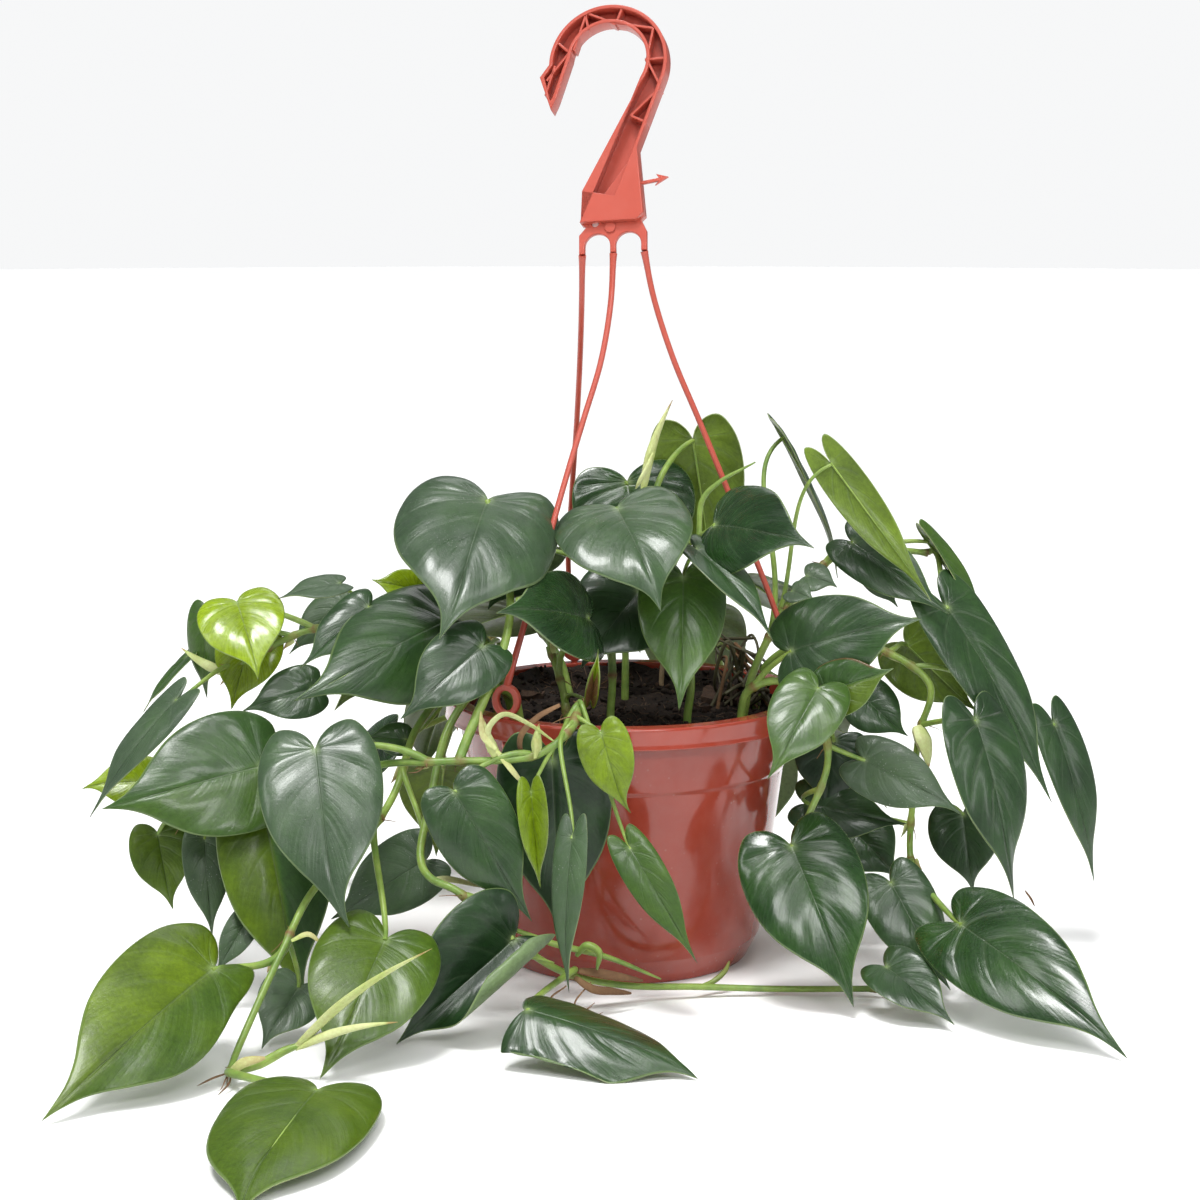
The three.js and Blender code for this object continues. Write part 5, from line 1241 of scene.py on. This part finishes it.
def makeVine(name):
    vine = vines[name]
    rng = random.Random("vine " + name)
    route = vine["route"]
    stems = bmesh.new()
    stems.verts.layers.float.new("scar")
    below = Vector(route[0])
    below.z -= stemShape["hole"]
    path = [below, below.lerp(Vector(route[0]), 0.6)] + splinePath(route, 2.5)
    nodePlaces = [splinePoint(route, data["at"]) for data in vine["leaves"]]
    radii = []
    scars = []
    for i, spot in enumerate(path):
        taper = stemShape["radius"] + (stemShape["tipRadius"] - stemShape["radius"]) * i / len(path)
        near = min((spot - node).length for node in nodePlaces)
        radii.append(taper + stemShape["nodeSwell"] * math.exp(-(near / 2.2) ** 2))
        scars.append(0.85 * math.exp(-(near / 1.6) ** 2))
    addTube(stems, path, radii, 12, 0, scar=scars)
    leaves = bmesh.new()
    layers = {key: leaves.verts.layers.float.new(key) for key in leafMarks}
    layers["map"] = leaves.loops.layers.uv.new("leafMap")
    for data, node in zip(vine["leaves"], nodePlaces):
        addBlade(leaves, data, layers, rng)
        way = petiolePath(route, data)
        thin, more = stemShape["petiole"]
        thick = thin + more * data["half"] / 44
        last = len(way) - 1
        radii = [thick * (1.25 - 0.45 * i / last) for i in range(last + 1)]
        addTube(stems, way, radii, 10, 0, scar=[0.5 if i == 0 else 0 for i in range(last + 1)])
        ridgeRadii = [thick * (0.5 - 0.05 * k) for k in range(9)]
        ridge = [bladePlace(data, k / 10, 0, -0.62 - 0.8 * ridgeRadii[k]) for k in range(9)]
        addTube(stems, ridge, ridgeRadii, 6, 0)
        heading = stemHeading(route, data["at"], 0.02)
        if rng.random() < 0.65:
            addRoots(stems, node, rng)
        if rng.random() < 0.6:
            addNodeSheath(stems, node, heading, rng)
    for shoot in vine.get("shoots", []):
        addShoot(stems, *shoot)
    for curl in vine.get("curls", []):
        addCurl(stems, *curl)
    for low, high, count in vine.get("tangles", []):
        addTangle(stems, low, high, count, rng)
    for vert in stems.verts:
        vert.co.z = max(vert.co.z, 0.05)
    skins = [upperSide, underSide, leafEdge]
    blades = newPiece("leaves_" + name, leaves, skins, [name], sharp=180)
    skin = blades.modifiers.new("blade thickness", "SOLIDIFY")
    skin.thickness = bladeShape["thick"] * mm
    skin.offset = 0
    skin.material_offset = 1
    skin.material_offset_rim = 2
    newPiece("stems_" + name, stems, [stemGreen, sheathPale, rootBrown, oldStem], [name])


# Camera, floor and light. The eye is in millimetres, the floor and the lamps are in metres
studio = {
    "eye": (-13.5, -1400, 420),
    "aim": (0, 0, 0.18),
    "pitch": 9.36,
    "lens": 81,
    "floorRadius": 9,
    "floorColour": (0.97, 0.97, 0.965),
    "backdrop": (0.93, 0.935, 0.94),
    "skyGlossy": (0.2, 0.21, 0.215),
    "skyLow": (0.14, 0.14, 0.14),
    "skyHigh": (0.5, 0.51, 0.52),
    "sun": {"turn": -30, "rise": 72, "power": 2.3, "angle": 14},
    "lamps": [
        {"name": "windowFront", "place": (0.35, -1.75, 1.3), "size": (0.9, 0.35), "power": 14},
        {"name": "windowHigh", "place": (0.1, -1.1, 2.0), "size": (1.5, 0.3), "power": 11},
        {"name": "windowLeft", "place": (-1.6, -1.0, 1.7), "size": (0.4, 0.9), "power": 9},
        {"name": "windowRight", "place": (1.75, -1.0, 0.9), "size": (0.35, 1.0), "power": 6},
        {"name": "overhead", "place": (0.2, 1.2, 1.8), "size": (1.4, 0.8), "power": 8},
    ],
}


def makeCamera():
    camera = bpy.data.objects.new("camera", bpy.data.cameras.new("camera"))
    camera.location = Vector(studio["eye"]) * mm
    camera.rotation_euler = (math.radians(90 - studio["pitch"]), 0, 0)
    camera.data.lens = studio["lens"]
    camera.data.sensor_width = 36
    camera.data.clip_end = 100
    bpy.context.scene.collection.objects.link(camera)
    bpy.context.scene.camera = camera


def makeFloor():
    bm = bmesh.new()
    bmesh.ops.create_circle(bm, cap_ends=True, segments=96, radius=studio["floorRadius"])
    mesh = bpy.data.meshes.new("floor")
    bm.to_mesh(mesh)
    bm.free()
    floor = bpy.data.objects.new("floor", mesh)
    bpy.context.scene.collection.objects.link(floor)
    material, tree, shader = newMaterial("paleFloor", {"Specular IOR Level": 0.2})
    grain = noiseAt(tree, objectPlace(tree), 8.0)
    shade = studio["floorColour"]
    darker = [0.97 * c for c in shade]
    colour = blendColour(tree, spread(tree, grain, 0.3, 0.7), (*shade, 1), (*darker, 1))
    tree.links.new(colour, shader.inputs["Base Color"])
    tree.links.new(spread(tree, grain, 0.3, 0.7, 0.75, 0.85), shader.inputs["Roughness"])
    mesh.materials.append(material)


# The sky lights from above; mirrored and seen directly it has shades of its own
def makeSky():
    world = bpy.data.worlds.new("softStudio")
    world.use_nodes = True
    tree = world.node_tree
    direction = addNode(tree, "ShaderNodeTexCoord").outputs["Generated"]
    height = addNode(tree, "ShaderNodeSeparateXYZ", {0: direction}).outputs[2]
    lift = spread(tree, height, -0.1, 0.9)
    glow = blendColour(tree, lift, (*studio["skyLow"], 1), (*studio["skyHigh"], 1))
    rays = addNode(tree, "ShaderNodeLightPath").outputs
    for kind, shade in (("Is Glossy Ray", "skyGlossy"), ("Is Camera Ray", "backdrop")):
        glow = blendColour(tree, rays[kind], glow, (*studio[shade], 1))
    tree.links.new(glow, tree.nodes["Background"].inputs["Color"])
    bpy.context.scene.world = world
    bpy.context.scene.view_settings.view_transform = "Standard"


def makeLights():
    sunlight = bpy.data.lights.new("sunlight", "SUN")
    sunlight.energy = studio["sun"]["power"]
    sunlight.angle = math.radians(studio["sun"]["angle"])
    sun = bpy.data.objects.new("sunlight", sunlight)
    sun.rotation_euler = (math.radians(90 - studio["sun"]["rise"]), 0, math.radians(studio["sun"]["turn"]))
    bpy.context.scene.collection.objects.link(sun)
    aim = Vector(studio["aim"])
    for lamp in studio["lamps"]:
        data = bpy.data.lights.new(lamp["name"], "AREA")
        data.shape = "RECTANGLE"
        data.size, data.size_y = lamp["size"]
        data.energy = lamp["power"]
        light = bpy.data.objects.new(lamp["name"], data)
        light.location = lamp["place"]
        light.rotation_euler = (aim - light.location).to_track_quat("-Z", "Y").to_euler()
        light.visible_camera = False
        bpy.context.scene.collection.objects.link(light)


makeCamera()
makeFloor()
makeSky()
makeLights()
print("studio ready")
makePot()
print("pot ready")
makeSoil()
print("soil ready")
makeHook()
for strandName in hangerSizes["routes"]:
    makeStrand(strandName)
print("hanger ready")
for vineName in vines:
    makeVine(vineName)
    print("vine ready:", vineName)
